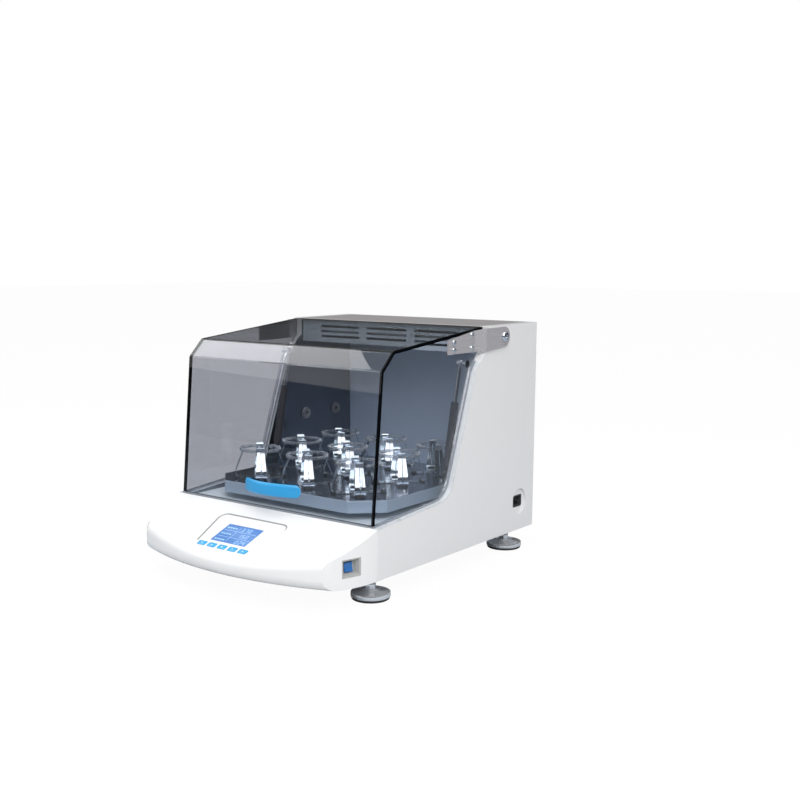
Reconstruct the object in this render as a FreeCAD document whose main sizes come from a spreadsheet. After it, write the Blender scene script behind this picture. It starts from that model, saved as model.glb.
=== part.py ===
import FreeCAD
import Part
import Sketcher
import math
import os

# Bench-top shaking incubator with a lift-up clear lid.
# Millimetres. X runs across the cabinet, Y from the console to the back, Z up.
# Every piece is drawn from one datum: the lower front edge of the lid, midway
# across the cabinet. Each placement then moves the datum so that the origin
# lies on the bench, at the middle of the cabinet's outline.

DRIVING = {
    # outer cabinet
    "case_half": 215.0, "case_back": 456.0, "case_top": 285.0, "case_drop": 79.0,
    "skin": 2.5, "wall_depth": 18.0, "foot_clear": 34.0,
    # front edge of the side walls, measured back from or down from the brow of the top cover
    "head_end": 299.0, "sill_dip": 1.5, "sill_back": 108.0, "sill_rise": 12.5,
    "sill_round": 45.0, "slope_back": 37.0, "slope_drop": 72.0, "brow_back": 13.0,
    "brow_drop": 43.0, "head_drop": 33.0,
    # console in front of the chamber
    "nose_reach": 131.0, "nose_bow": 35.0, "nose_flank": 197.0, "nose_wall": 3.0,
    "deck_angle": 21.06,
    # control panel, measured down the sloping deck
    "panel_shift": -4.0, "panel_head": 31.0, "panel_lip": 19.38, "panel_head_half": 75.0,
    "panel_foot_half": 59.0, "panel_round": 14.0, "panel_film": 0.8,
    "screen_inset": 24.0, "screen_half": 37.5, "screen_key_gap": 6.5, "screen_frame": 5.0,
    "screen_foot": 2.0, "screen_body": 7.0, "key_inset": 7.5, "key_wide": 17.0,
    "key_deep": 10.0, "key_pitch": 22.0, "key_proud": 1.0, "key_travel": 0.8,
    "key_round": 2.0, "key_gap": 0.3, "board_drop": 12.2, "board_sheet": 1.6,
    "board_inset": 10.0, "pad_half": 3.0, "post_radius": 3.5, "post_inset": 17.0,
    # power switch in the right flank
    "switch_back": 52.0, "switch_drop": 48.0, "switch_pocket_wide": 34.0,
    "switch_pocket_high": 28.0, "switch_turn": 15.3, "switch_deep": 11.0, "cup_wall": 1.6,
    "cup_draft": 22.0, "rocker_wide": 14.0, "rocker_high": 13.5, "rocker_body": 9.0, "rocker_sink": 3.0,
    # chamber
    "liner_sheet": 1.2, "sheet_gap": 0.3, "chamber_drop": 3.0, "service_deep": 12.0,
    "sill_rail": 6.5, "shelf_drop": 45.0, "shelf_inset": 4.6, "shelf_flange": 12.0,
    "grille_sheet": 1.5, "slot_wide": 90.0, "slot_high": 4.2, "slot_pitch": 9.0,
    "slot_group_pitch": 106.0, "slot_foot": 9.5, "trim_sheet": 2.0, "trim_start": 0.4,
    "top_lip": 8.0, "gasket_thick": 2.2, "gasket_wide": 9.0,
    "port_front_inset": 135.0, "port_rear_inset": 48.0, "port_rise": 104.5,
    "port_radius": 11.0, "port_bore": 4.0, "port_proud": 4.0,
    # vent slots in the base and the back
    "vent_long": 50.0, "vent_high": 5.0, "vent_round": 2.4, "vent_pitch": 12.0,
    "vent_column": 70.0, "vent_low": 60.0,
    # lid
    "lid_inset": 10.0, "lid_sheet": 5.0, "lid_low": 3.8, "seal_drop": 0.8,
    "lid_front_back": 22.2, "lid_front_drop": 52.4, "lid_bevel_back": 51.2,
    "lid_bevel_drop": 24.4, "lid_rear_gap": 5.0, "lid_top_gap": 0.4, "lid_side_gap": 9.0,
    "rim_gap": 4.5, "grip_half": 62.0, "grip_inner_half": 50.0, "grip_reach": 24.0,
    "grip_inner_reach": 15.0, "grip_low": 25.0, "grip_high": 21.0, "grip_round": 4.0,
    # hinge arms
    "arm_sheet": 3.0, "arm_reach": 107.0, "arm_low_drop": 40.0, "arm_front_drop": 17.0,
    "arm_top_drop": 3.0, "joggle_back": 29.0, "joggle_end_back": 12.0, "arm_gap": 0.5,
    "pivot_inset": 44.6, "pivot_drop": 19.0, "arm_round": 16.5, "pivot_pin": 4.0,
    "pivot_head": 9.0, "pivot_head_thick": 4.0, "pin_fit": 0.05,
    "screw_head": 4.5, "screw_head_thick": 2.4, "screw_front": 15.0, "screw_rear": 66.0,
    # gas struts, one inside each side wall
    "strut_low_inset": 83.0, "strut_low_rise": 48.0, "strut_high_inset": 45.0,
    "strut_high_drop": 59.0, "rod_shown": 64.0, "tube_radius": 6.5, "rod_radius": 3.0,
    "eye_radius": 6.0, "eye_thick": 7.0, "strut_inset": 11.0, "stud_radius": 3.0,
    # shaking platform
    "plate_side_gap": 22.0, "plate_front": 31.0, "plate_rear_gap": 83.0, "plate_top": 27.0,
    "plate_sheet": 2.0, "plate_edge": 20.0, "plate_corner": 42.0, "orbit": 10.0,
    "carrier_low": 8.0, "carrier_plate": 4.0, "hub_wall": 6.0, "hub_top": 19.0,
    "plate_screw": 5.0, "plate_screw_thick": 2.6, "plate_screw_inset": 20.0,
    # flask clamps: radii from the flask's axis, heights above the platform
    "clamp_pitch": 106.0, "clamp_sheet": 1.2, "clamp_disc": 35.5, "clamp_half_wide": 9.5,
    "clamp_sole": 34.0, "clamp_heel": 42.5, "clamp_heel_rise": 5.0, "clamp_shin": 41.5,
    "clamp_shin_rise": 15.0, "clamp_throat": 28.6, "clamp_throat_rise": 51.0,
    "neck_flare": 2.4, "neck_drop": 8.0, "lip_flare": 2.9, "lip_lift": 2.5,
    "ring_flare": 4.4, "ring_lift": 48.5, "ring_wire": 2.8,
    # drive below the chamber floor
    "frame_plate": 6.0, "frame_margin": 25.0, "frame_rear_half": 35.0, "shaft_radius": 7.5,
    "bearing_outer": 17.5, "bearing_wide": 11.0, "boss_wall": 8.0, "pulley_gap": 1.5,
    "pin_radius": 6.0, "crank_disc": 20.0, "crank_thick": 6.0, "crank_rise": 0.0,
    "idler_shaft": 5.0, "idler_outer": 13.0, "idler_wide": 8.0, "idler_pin": 4.0,
    "crank_rim": 1.5, "idler_inset": 45.0, "idler_front_inset": 79.0,
    "idler_rear_inset": 31.0, "pulley_radius": 54.0, "pulley_flange": 2.0,
    "motor_pulley_radius": 18.0, "pulley_low": 32.0, "belt_wide": 12.0, "belt_thick": 2.0,
    "belt_gap": 0.3, "motor_inset": 25.0, "motor_set_back": 60.0, "motor_radius": 40.0,
    "motor_drop": 9.0, "motor_shaft": 4.0, "weight_radius": 62.0, "weight_thick": 8.0,
    "weight_low": 15.0, "weight_neck": 14.0,
    # air circulation above the chamber
    "fan_gap": 22.9, "fan_high": 20.0, "fan_motor_high": 12.0, "heater_tube": 3.0,
    "heater_end_gap": 47.0, "heater_inset": 8.4, "heater_pitch": 12.0, "heater_drop": 27.0,
    # levelling feet
    "foot_inset": 7.0, "foot_front": 15.0, "foot_rear_inset": 56.0, "foot_radius": 30.5,
    "foot_rubber": 4.0, "foot_rim": 7.0, "foot_dish": 11.0, "foot_stem": 5.0,
    "foot_hex": 8.5, "foot_hex_high": 7.0, "foot_boss": 11.0, "foot_boss_high": 16.0,
    # mains inlet in the right wall
    "inlet_inset": 48.0, "inlet_drop": 28.0, "inlet_recess": 22.5, "inlet_recess_deep": 4.0,
    "inlet_wide": 28.0, "inlet_high": 21.0, "inlet_body": 18.0, "inlet_gap": 0.2,
    "inlet_round": 3.0, "inlet_wall": 2.0, "inlet_floor": 3.0,
    # power supply
    "supply_inset": 77.0, "supply_set_back": 58.0, "supply_wide": 100.0,
    "supply_deep": 90.0, "supply_high": 38.0,
}

# Sizes that follow from the driving ones, as formulas of the sheet.
DERIVED = {
    "foot_drop": "case_drop + foot_clear",
    "inner_half": "case_half - wall_depth",
    "liner_back": "case_back - service_deep",
    "sill_end": "head_end - sill_back",
    "slope_end": "head_end - slope_back",
    "slope_rise": "case_top - slope_drop",
    "brow_end": "head_end - brow_back",
    "brow_rise": "case_top - brow_drop",
    "head_rise": "case_top - head_drop",
    "nose_side": "nose_reach - nose_bow",
    "nose_half": "case_half - nose_flank + sqrt(nose_flank ^ 2 - nose_side ^ 2)",
    "nose_high": "case_drop - nose_reach * tan(deck_angle)",
    "nose_low_round": "nose_high * 0.63",
    "nose_top_round": "nose_high * 0.49",
    "panel_foot": "nose_reach / cos(deck_angle) - panel_lip",
    "key_row": "panel_foot - key_inset",
    "screen_head": "panel_head + screen_inset",
    "screen_deep": "key_row - key_deep / 2 - screen_key_gap - screen_head",
    "shelf_rise": "case_top - shelf_drop",
    "shelf_front": "head_end + shelf_inset",
    "slot_low": "shelf_rise + slot_foot",
    "port_front": "liner_back - port_front_inset",
    "port_rear": "liner_back - port_rear_inset",
    "lid_half": "case_half - lid_inset",
    "lid_front_rise": "case_top - lid_front_drop",
    "lid_bevel_rise": "case_top - lid_bevel_drop",
    "lid_rear": "head_end - lid_rear_gap",
    "lid_rear_rise": "case_top - lid_top_gap",
    "lid_side_rear": "head_end - lid_side_gap",
    "arm_front": "head_end - arm_reach",
    "arm_low": "case_top - arm_low_drop",
    "arm_front_top": "case_top - arm_front_drop",
    "arm_top": "case_top - arm_top_drop",
    "arm_joggle": "head_end - joggle_back",
    "arm_joggle_end": "head_end - joggle_end_back",
    "pivot_back": "head_end + pivot_inset",
    "pivot_rise": "case_top - pivot_drop",
    "strut_centre": "inner_half - strut_inset",
    "strut_low_back": "head_end - strut_low_inset",
    "strut_high_back": "head_end - strut_high_inset",
    "strut_high_rise": "case_top - strut_high_drop",
    "strut_run": "strut_high_back - strut_low_back",
    "strut_lift": "strut_high_rise - strut_low_rise",
    "strut_long": "sqrt(strut_run ^ 2 + strut_lift ^ 2)",
    "tube_long": "strut_long - rod_shown",
    "plate_half": "inner_half - plate_side_gap",
    "plate_deep": "liner_back - plate_rear_gap - plate_front",
    "plate_back": "plate_front + plate_deep / 2",
    "idler_side": "plate_half - idler_inset",
    "idler_front": "plate_front + idler_front_inset",
    "idler_rear": "plate_front + plate_deep - idler_rear_inset",
    "boss_high": "case_drop - skin - pulley_low - pulley_gap",
    "motor_side": "idler_side - motor_inset",
    "motor_back": "plate_back + orbit + motor_set_back",
    "motor_high": "boss_high - motor_drop",
    "clamp_neck": "clamp_throat + neck_flare",
    "clamp_neck_rise": "clamp_throat_rise - neck_drop",
    "clamp_lip": "clamp_throat + lip_flare",
    "clamp_lip_rise": "clamp_throat_rise + lip_lift",
    "ring_centre": "clamp_throat + ring_flare",
    "ring_rise": "plate_top + ring_lift",
    "heater_front": "shelf_front + heater_inset",
    "heater_rise": "case_top - heater_drop",
    "heater_half": "inner_half - heater_end_gap",
    "heater_back": "heater_front + heater_pitch + heater_tube",
    "fan_back": "(liner_back - liner_sheet + heater_back) / 2",
    "fan_radius": "(liner_back - liner_sheet - heater_back) / 2 - fan_gap",
    "foot_side": "inner_half - foot_inset",
    "foot_rear": "case_back - foot_rear_inset",
    "inlet_back": "case_back - inlet_inset",
    "supply_side": "inner_half - supply_inset",
    "supply_back": "case_back - supply_set_back",
}

DOC = FreeCAD.newDocument("ShakingIncubator")
SHEET = DOC.addObject("Spreadsheet::Sheet", "Sizes")
NODES = {}


class Size:
    """A number together with the sheet expression that gives it."""

    def __init__(self, value, text=None):
        self.value = float(value)
        self.text = text or "(%.6f)" % float(value)

    @staticmethod
    def of(item):
        return item if isinstance(item, Size) else Size(item)

    def __add__(self, other):
        other = Size.of(other)
        return Size(self.value + other.value, "(%s + %s)" % (self.text, other.text))

    def __sub__(self, other):
        other = Size.of(other)
        return Size(self.value - other.value, "(%s - %s)" % (self.text, other.text))

    def __mul__(self, other):
        other = Size.of(other)
        return Size(self.value * other.value, "(%s * %s)" % (self.text, other.text))

    def __truediv__(self, other):
        other = Size.of(other)
        return Size(self.value / other.value, "(%s / %s)" % (self.text, other.text))

    def __radd__(self, other):
        return Size.of(other) + self

    def __rsub__(self, other):
        return Size.of(other) - self

    def __rmul__(self, other):
        return Size.of(other) * self

    def __neg__(self):
        return Size(-self.value, "(-%s)" % self.text)


def write_sheet():
    """Fill the sheet and give each size as a Size with its alias."""
    cells = {name: str(value) for name, value in DRIVING.items()}
    cells.update((name, "=" + formula) for name, formula in DERIVED.items())
    for row, (name, content) in enumerate(cells.items(), start=1):
        cell = "B%d" % row
        SHEET.set("A%d" % row, name)
        SHEET.set(cell, content)
        SHEET.setAlias(cell, name)
    DOC.recompute()
    return {name: Size(SHEET.get(name), "Sizes." + name) for name in cells}


class Sizes:
    """The sheet's sizes as attributes."""

    def __init__(self, table):
        self.__dict__.update(table)


S = Sizes(write_sheet())

BASE_Y = (S.nose_reach - S.case_back) / 2
BASE_Z = S.foot_drop
ZERO = Size(0)


def root(size):
    """Square root of a size."""
    return Size(math.sqrt(size.value), "sqrt(%s)" % size.text)


def bind(thing, name, size):
    """Tie a property of a document object to the sheet."""
    thing.setExpression(name, Size.of(size).text)


def place(thing, x=ZERO, y=ZERO, z=ZERO, turn=None):
    """Put an object at a point measured from the datum, perhaps turned."""
    thing.Placement = FreeCAD.Placement()
    if turn:
        axis, angle = turn
        angle = Size.of(angle)
        turned = FreeCAD.Rotation(FreeCAD.Vector(*axis), angle.value)
        thing.Placement = FreeCAD.Placement(FreeCAD.Vector(), turned)
        thing.setExpression("Placement.Rotation.Angle", angle.text)
    bind(thing, "Placement.Base.x", Size.of(x))
    bind(thing, "Placement.Base.y", BASE_Y + y)
    bind(thing, "Placement.Base.z", BASE_Z + z)


def new_body(label, x=ZERO, y=ZERO, z=ZERO, turn=None):
    """A PartDesign body placed in the cabinet."""
    body = DOC.addObject("PartDesign::Body", "Body_" + label)
    body.Label = label
    place(body, x, y, z, turn)
    return body


def keep(label, thing):
    """Make an object a sub-part of the incubator."""
    thing.Label = label
    NODES[label] = thing
    return thing


def sketch(body, plane, level=ZERO):
    """Sketch on one of the body's own planes, moved along +X, +Y or +Z."""
    drawing = body.newObject("Sketcher::SketchObject", "Sketch_" + body.Label)
    base = [item for item in body.Origin.OriginFeatures if item.Role == plane + "_Plane"][0]
    drawing.AttachmentSupport = [(base, "")]
    drawing.MapMode = "FlatFace"
    level = Size.of(level)
    along = -level if plane == "XZ" else level
    bind(drawing, "AttachmentOffset.Base.z", along)
    return drawing


def fix_point(drawing, geo, pos, point, rules):
    """Fix one point of a drawing at its sheet coordinates."""
    for kind, size in zip(("DistanceX", "DistanceY"), point):
        size = Size.of(size)
        rules.append((Sketcher.Constraint(kind, geo, pos, size.value), size))


def apply_rules(drawing, rules):
    """Add the constraints and tie the ones that carry a size to the sheet."""
    numbers = drawing.addConstraint([rule for rule, _ in rules])
    for number, (_, size) in zip(numbers, rules):
        if size is not None:
            drawing.setExpression("Constraints[%d]" % number, size.text)


def vector(point):
    return FreeCAD.Vector(Size.of(point[0]).value, Size.of(point[1]).value, 0)


def outline(drawing, points, arcs=None):
    """Closed outline through the points, drawn counter-clockwise.

    arcs gives the radius of each segment that is an arc: positive bulges
    outward, negative inward.
    """
    arcs = arcs or {}
    rules = []
    links = []
    count = len(points)
    for index in range(count):
        start = vector(points[index])
        end = vector(points[(index + 1) % count])
        if index not in arcs:
            geo = drawing.addGeometry(Part.LineSegment(start, end), False)
            links.append((geo, 1, 2))
            continue
        radius = Size.of(arcs[index])
        reach = abs(radius.value)
        chord = end - start
        rise = math.sqrt(max(reach ** 2 - (chord.Length / 2) ** 2, 0.0))
        left = FreeCAD.Vector(-chord.y, chord.x, 0).normalize()
        outward = radius.value > 0
        centre = (start + end) / 2 + left * (rise if outward else -rise)
        first, last = (start, end) if outward else (end, start)
        begin = math.atan2(first.y - centre.y, first.x - centre.x)
        finish = math.atan2(last.y - centre.y, last.x - centre.x)
        circle = Part.Circle(centre, FreeCAD.Vector(0, 0, 1), reach)
        geo = drawing.addGeometry(Part.ArcOfCircle(circle, begin, finish), False)
        links.append((geo, 1, 2) if outward else (geo, 2, 1))
        size = radius if outward else -radius
        rules.append((Sketcher.Constraint("Radius", geo, reach), size))
    for index in range(count):
        geo, begin, end = links[index]
        following = links[(index + 1) % count]
        rules.append((Sketcher.Constraint("Coincident", geo, end, following[0], following[1]), None))
        fix_point(drawing, geo, begin, points[index], rules)
    apply_rules(drawing, rules)


def rectangle(drawing, x0, y0, x1, y1):
    outline(drawing, [(x0, y0), (x1, y0), (x1, y1), (x0, y1)])


def rounded(drawing, x0, y0, x1, y1, radius):
    """Rectangle with round corners."""
    x0, y0, x1, y1 = (Size.of(item) for item in (x0, y0, x1, y1))
    points = [(x0 + radius, y0), (x1 - radius, y0), (x1, y0 + radius), (x1, y1 - radius),
              (x1 - radius, y1), (x0 + radius, y1), (x0, y1 - radius), (x0, y0 + radius)]
    outline(drawing, points, {1: radius, 3: radius, 5: radius, 7: radius})


def circle(drawing, x, y, radius):
    radius = Size.of(radius)
    ring = Part.Circle(vector((x, y)), FreeCAD.Vector(0, 0, 1), radius.value)
    geo = drawing.addGeometry(ring, False)
    rules = [(Sketcher.Constraint("Radius", geo, radius.value), radius)]
    fix_point(drawing, geo, 3, (x, y), rules)
    apply_rules(drawing, rules)


def crossing(first, second):
    """Where two offset lines meet, each given as point and direction."""
    (p, u), (q, v) = first, second
    turn = u.x * v.y - u.y * v.x
    along = ((q.x - p.x) * v.y - (q.y - p.y) * v.x) / turn
    return p + u * along


def offset_loop(drawing, lines):
    """Closed outline of lines, each parallel to a given line and a gap to its left."""
    moved = []
    for start, end, gap in lines:
        start, end = vector(start), vector(end)
        course = (end - start).normalize()
        left = FreeCAD.Vector(-course.y, course.x, 0)
        moved.append((start + left * Size.of(gap).value, course))
    count = len(moved)
    corners = [crossing(moved[index - 1], moved[index]) for index in range(count)]
    rules = []
    sides = []
    for index, (start, end, gap) in enumerate(lines):
        gap = Size.of(gap)
        guide = drawing.addGeometry(Part.LineSegment(vector(start), vector(end)), True)
        fix_point(drawing, guide, 1, start, rules)
        fix_point(drawing, guide, 2, end, rules)
        edge = Part.LineSegment(corners[index], corners[(index + 1) % count])
        side = drawing.addGeometry(edge, False)
        sides.append(side)
        rules.append((Sketcher.Constraint("Parallel", side, guide), None))
        if gap.value:
            reach = abs(gap.value)
            size = gap if gap.value > 0 else -gap
            rules.append((Sketcher.Constraint("Distance", side, 1, guide, reach), size))
        else:
            rules.append((Sketcher.Constraint("PointOnObject", side, 1, guide), None))
    for index, side in enumerate(sides):
        following = sides[(index + 1) % count]
        rules.append((Sketcher.Constraint("Coincident", side, 2, following, 1), None))
    apply_rules(drawing, rules)


def strip(drawing, points, near, far):
    """Band beside a line of points, from one gap to another on its left."""
    count = len(points)
    lines = [(points[index], points[index + 1], near) for index in range(count - 1)]
    first, second = vector(points[-2]), vector(points[-1])
    square = FreeCAD.Vector(-(second - first).y, (second - first).x, 0)
    last_cap = (points[-1], (Size.of(points[-1][0]) + square.x, Size.of(points[-1][1]) + square.y), 0)
    back = [(points[index], points[index + 1], far) for index in reversed(range(count - 1))]
    first, second = vector(points[0]), vector(points[1])
    square = FreeCAD.Vector(-(second - first).y, (second - first).x, 0)
    first_cap = (points[0], (Size.of(points[0][0]) + square.x, Size.of(points[0][1]) + square.y), 0)
    offset_loop(drawing, lines + [last_cap] + back + [first_cap])


def run_profile(body, kind, drawing, length, both, back):
    feature = body.newObject("PartDesign::" + kind, kind + "_" + body.Label)
    feature.Profile = drawing
    feature.Reversed = back
    if both:
        feature.SideType = "Symmetric"
    if length is None:
        feature.Type = "ThroughAll"
    else:
        bind(feature, "Length", length)
    body.Tip = feature
    return feature


def pad(body, drawing, length, both=False, back=False):
    """Pad along the plane's own +X, +Y or +Z unless back is set."""
    base = drawing.AttachmentSupport[0][0]
    if base.Role == "XZ_Plane" and not both:
        back = not back
    return run_profile(body, "Pad", drawing, length, both, back)


def pocket(body, drawing, length=None, both=False, back=False):
    """Cut along the plane's own +X, +Y or +Z unless back is set."""
    base = drawing.AttachmentSupport[0][0]
    if base.Role != "XZ_Plane" and not both:
        back = not back
    return run_profile(body, "Pocket", drawing, length, both, back)


def revolve(body, drawing):
    """Turn a profile drawn in the XZ plane about the body's Z axis."""
    feature = body.newObject("PartDesign::Revolution", "Revolution_" + body.Label)
    feature.Profile = drawing
    feature.ReferenceAxis = (drawing, ["V_Axis"])
    feature.Angle = 360
    body.Tip = feature
    return feature


def edges_near(body, spots, tolerance=1.0):
    """Names of the edges whose middle lies at each spot in the body's frame."""
    DOC.recompute()
    shape = body.Tip.Shape
    names = []
    for spot in spots:
        target = FreeCAD.Vector(*[Size.of(item).value for item in spot])
        best = min(range(len(shape.Edges)),
                   key=lambda number: (shape.Edges[number].CenterOfMass - target).Length)
        if (shape.Edges[best].CenterOfMass - target).Length > tolerance:
            raise ValueError("no edge of %s near %s" % (body.Label, target))
        names.append("Edge%d" % (best + 1))
    return names


def round_edges(body, names, radius):
    """Fillet the named edges of the body's last feature."""
    base = (body.Tip, names)
    feature = body.newObject("PartDesign::Fillet", "Fillet_" + body.Label)
    feature.Base = base
    bind(feature, "Radius", radius)
    body.Tip = feature


def fillet(body, radius, spots, tolerance=1.0):
    round_edges(body, edges_near(body, spots, tolerance), radius)


def join(kind, label, base, *tools):
    """Part boolean of two or more objects: Cut, MultiFuse or Common."""
    result = DOC.addObject("Part::" + kind, kind + "_" + label)
    if kind == "MultiFuse":
        result.Shapes = [base] + list(tools)
    else:
        result.Base = base
        result.Tool = tools[0]
    return result


def mirror(label, source):
    """Copy of an object on the other side of the cabinet's middle plane."""
    result = DOC.addObject("Part::Mirroring", "Mirror_" + label)
    result.Source = source
    result.Base = FreeCAD.Vector(0, 0, 0)
    result.Normal = FreeCAD.Vector(1, 0, 0)
    return result


def group(label, members):
    """Separate identical or mirrored solids that share one node."""
    result = DOC.addObject("Part::Compound", "Group_" + label)
    result.Links = members
    return keep(label, result)


def repeat(label, master, places):
    """Copies of a master shape at points measured from the datum.

    Each place is (x, y, z) or (x, y, z, axis, angle).
    """
    DOC.recompute()
    own = master.Placement
    shapes = []
    for spot in places:
        x, y, z = (Size.of(item).value for item in spot[:3])
        turn = FreeCAD.Rotation()
        if len(spot) == 5:
            turn = FreeCAD.Rotation(FreeCAD.Vector(*spot[3]), spot[4])
        there = FreeCAD.Placement(FreeCAD.Vector(x, y + BASE_Y.value, z + BASE_Z.value), turn)
        copy = master.Shape.copy()
        copy.Placement = there.multiply(own.inverse()).multiply(copy.Placement)
        shapes.extend(copy.Solids)
    result = DOC.addObject("Part::Feature", "Copies_" + label)
    result.Shape = Part.makeCompound(shapes)
    result.Label = label
    return result


def turned(label, points, x=ZERO, y=ZERO, z=ZERO, turn=None, arcs=None):
    """Body turned about an upright axis from half its section."""
    body = new_body(label, x, y, z, turn)
    drawing = sketch(body, "XZ")
    outline(drawing, points, arcs)
    revolve(body, drawing)
    return body


# The front edge of each side wall, from the console up to the top cover.
SILL = [(ZERO, -S.sill_dip), (S.sill_end, S.sill_rise), (S.slope_end, S.slope_rise),
        (S.brow_end, S.brow_rise), (S.head_end, S.head_rise), (S.head_end, S.case_top)]
INNER = S.inner_half
FLOOR_UNDER = -(S.chamber_drop + S.liner_sheet)
PAN_TOP = S.skin - S.case_drop
AXIS_Y = S.plate_back + S.orbit
FINGERS = 4
VANES = 12


def side_wall(label, right):
    """Painted side cover: a tray, open towards the chamber."""
    body = new_body(label)
    drawing = sketch(body, "YZ", INNER if right else -INNER)
    rear = [(S.case_back, S.case_top), (S.case_back, -S.case_drop), (ZERO, -S.case_drop)]
    outline(drawing, list(reversed(SILL + rear)))
    pad(body, drawing, S.wall_depth, back=not right)
    middle = (INNER + S.wall_depth / 2) if right else -(INNER + S.wall_depth / 2)
    fillet(body, S.sill_round, [(middle, S.sill_end, S.sill_rise)])
    tray = sketch(body, "YZ", INNER if right else -INNER)
    loop = SILL + rear + [SILL[0]]
    offset_loop(tray, [(loop[index], loop[index + 1], -S.skin) for index in range(len(loop) - 1)])
    pocket(body, tray, S.wall_depth - S.skin, back=not right)
    hole = sketch(body, "YZ")
    circle(hole, S.pivot_back, S.pivot_rise, S.pivot_pin + S.pin_fit)
    pocket(body, hole, back=not right)
    return body


def side_covers():
    keep("side_cover_left", side_wall("side_cover_left", False))
    body = side_wall("side_cover_right", True)
    dish = sketch(body, "YZ", S.case_half)
    circle(dish, S.inlet_back, -S.inlet_drop, S.inlet_recess + S.skin)
    pad(body, dish, S.inlet_recess_deep + S.skin, back=True)
    recess = sketch(body, "YZ", S.case_half)
    circle(recess, S.inlet_back, -S.inlet_drop, S.inlet_recess)
    pocket(body, recess, S.inlet_recess_deep, back=True)
    window = sketch(body, "YZ", S.case_half)
    half_wide = S.inlet_wide / 2 + S.inlet_gap
    half_high = S.inlet_high / 2 + S.inlet_gap
    rounded(window, S.inlet_back - half_wide, -S.inlet_drop - half_high,
            S.inlet_back + half_wide, -S.inlet_drop + half_high, S.inlet_round)
    pocket(body, window, S.wall_depth, back=True)
    keep("side_cover_right", body)


def console_block(label, inset):
    """Solid form of the console, moved in by an inset on every outer face."""
    body = new_body(label)
    drawing = sketch(body, "XY", inset - S.case_drop)
    half = S.nose_half - inset
    side = S.nose_side - inset
    reach = S.nose_reach - inset
    sag = reach - side
    front = (half * half + sag * sag) / (2 * sag)
    flank = S.nose_flank - inset
    points = [(-(S.case_half - inset), ZERO), (-half, -side), (half, -side), (S.case_half - inset, ZERO)]
    outline(drawing, points, {0: flank, 1: front, 2: flank})
    pad(body, drawing, S.case_drop)
    deck = sketch(body, "YZ")
    slope = Size(math.tan(math.radians(S.deck_angle.value)), "tan(%s)" % S.deck_angle.text)
    level = inset / Size(math.cos(math.radians(S.deck_angle.value)), "cos(%s)" % S.deck_angle.text)
    far = S.nose_reach * 1.1
    outline(deck, [(-far, -slope * far - level), (far, slope * far - level), (far, far), (-far, far)])
    pocket(body, deck, S.case_half * 3, both=True)
    return body


def front_edges(body, lowest, highest):
    """Names of the edges that run along the bowed front between two heights."""
    DOC.recompute()
    names = []
    for number, edge in enumerate(body.Tip.Shape.Edges, start=1):
        box = edge.BoundBox
        along = box.XLength > S.nose_half.value and box.YMin < -(S.nose_side + S.nose_bow / 7).value
        if along and lowest.value < box.ZMin and box.ZMax < highest.value:
            names.append("Edge%d" % number)
    return names


def console_front(body, inset):
    """Round the deck into the front and the front under the console."""
    low = inset - S.case_drop
    low_round = S.nose_low_round - inset
    round_edges(body, front_edges(body, low - 1, low + 1), low_round)
    round_edges(body, front_edges(body, low + low_round + 1, ZERO), S.nose_top_round - inset)


DECK = ((1, 0, 0), S.deck_angle)


def key_centres():
    return [S.panel_shift + S.key_pitch * (number - 2) for number in range(5)]


def console():
    """Console cover with the display window, key holes and switch opening."""
    outer = console_block("console_outer", ZERO)
    console_front(outer, ZERO)
    inner = console_block("console_inner", S.nose_wall)
    console_front(inner, S.nose_wall)
    shell = join("Cut", "console_shell", outer, inner)
    window = new_body("window_cutter", turn=DECK)
    drawing = sketch(window, "XY", -S.nose_wall * 3)
    rectangle(drawing, S.panel_shift - S.screen_half, -S.screen_head - S.screen_deep,
              S.panel_shift + S.screen_half, -S.screen_head)
    pad(window, drawing, S.nose_wall * 4)
    for centre in key_centres():
        hole = sketch(window, "XY", -S.nose_wall * 3)
        half = S.key_wide / 2 + S.key_gap
        deep = S.key_deep / 2 + S.key_gap
        rounded(hole, centre - half, -S.key_row - deep, centre + half, -S.key_row + deep, S.key_round)
        pad(window, hole, S.nose_wall * 4)
    flank = new_body("switch_cutter", *switch_spot(), turn=((0, 0, 1), -S.switch_turn))
    drawing = sketch(flank, "YZ", -S.switch_deep)
    rectangle(drawing, -S.switch_pocket_wide / 2, -S.switch_pocket_high / 2,
              S.switch_pocket_wide / 2, S.switch_pocket_high / 2)
    pad(flank, drawing, S.switch_deep * 2)
    posts = new_body("board_posts", turn=DECK)
    for x in (-1, 1):
        for y in (S.panel_head + S.post_radius * 3, S.panel_foot - S.post_radius):
            post = sketch(posts, "XY", -(S.board_drop - S.board_sheet))
            circle(post, S.panel_shift + (S.panel_head_half - S.post_inset) * x, -y, S.post_radius)
            pad(posts, post, S.board_drop - S.board_sheet - S.nose_wall / 2)
    opened = join("Cut", "console_window", shell, window)
    opened = join("Cut", "console_switch", opened, flank)
    keep("console_cover", join("MultiFuse", "console_cover", opened, posts))


def switch_spot():
    """Middle of the switch pocket on the flank's outer face."""
    run = root(S.nose_flank * S.nose_flank - S.switch_back * S.switch_back)
    return S.case_half - S.nose_flank + run, -S.switch_back, -S.switch_drop


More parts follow.
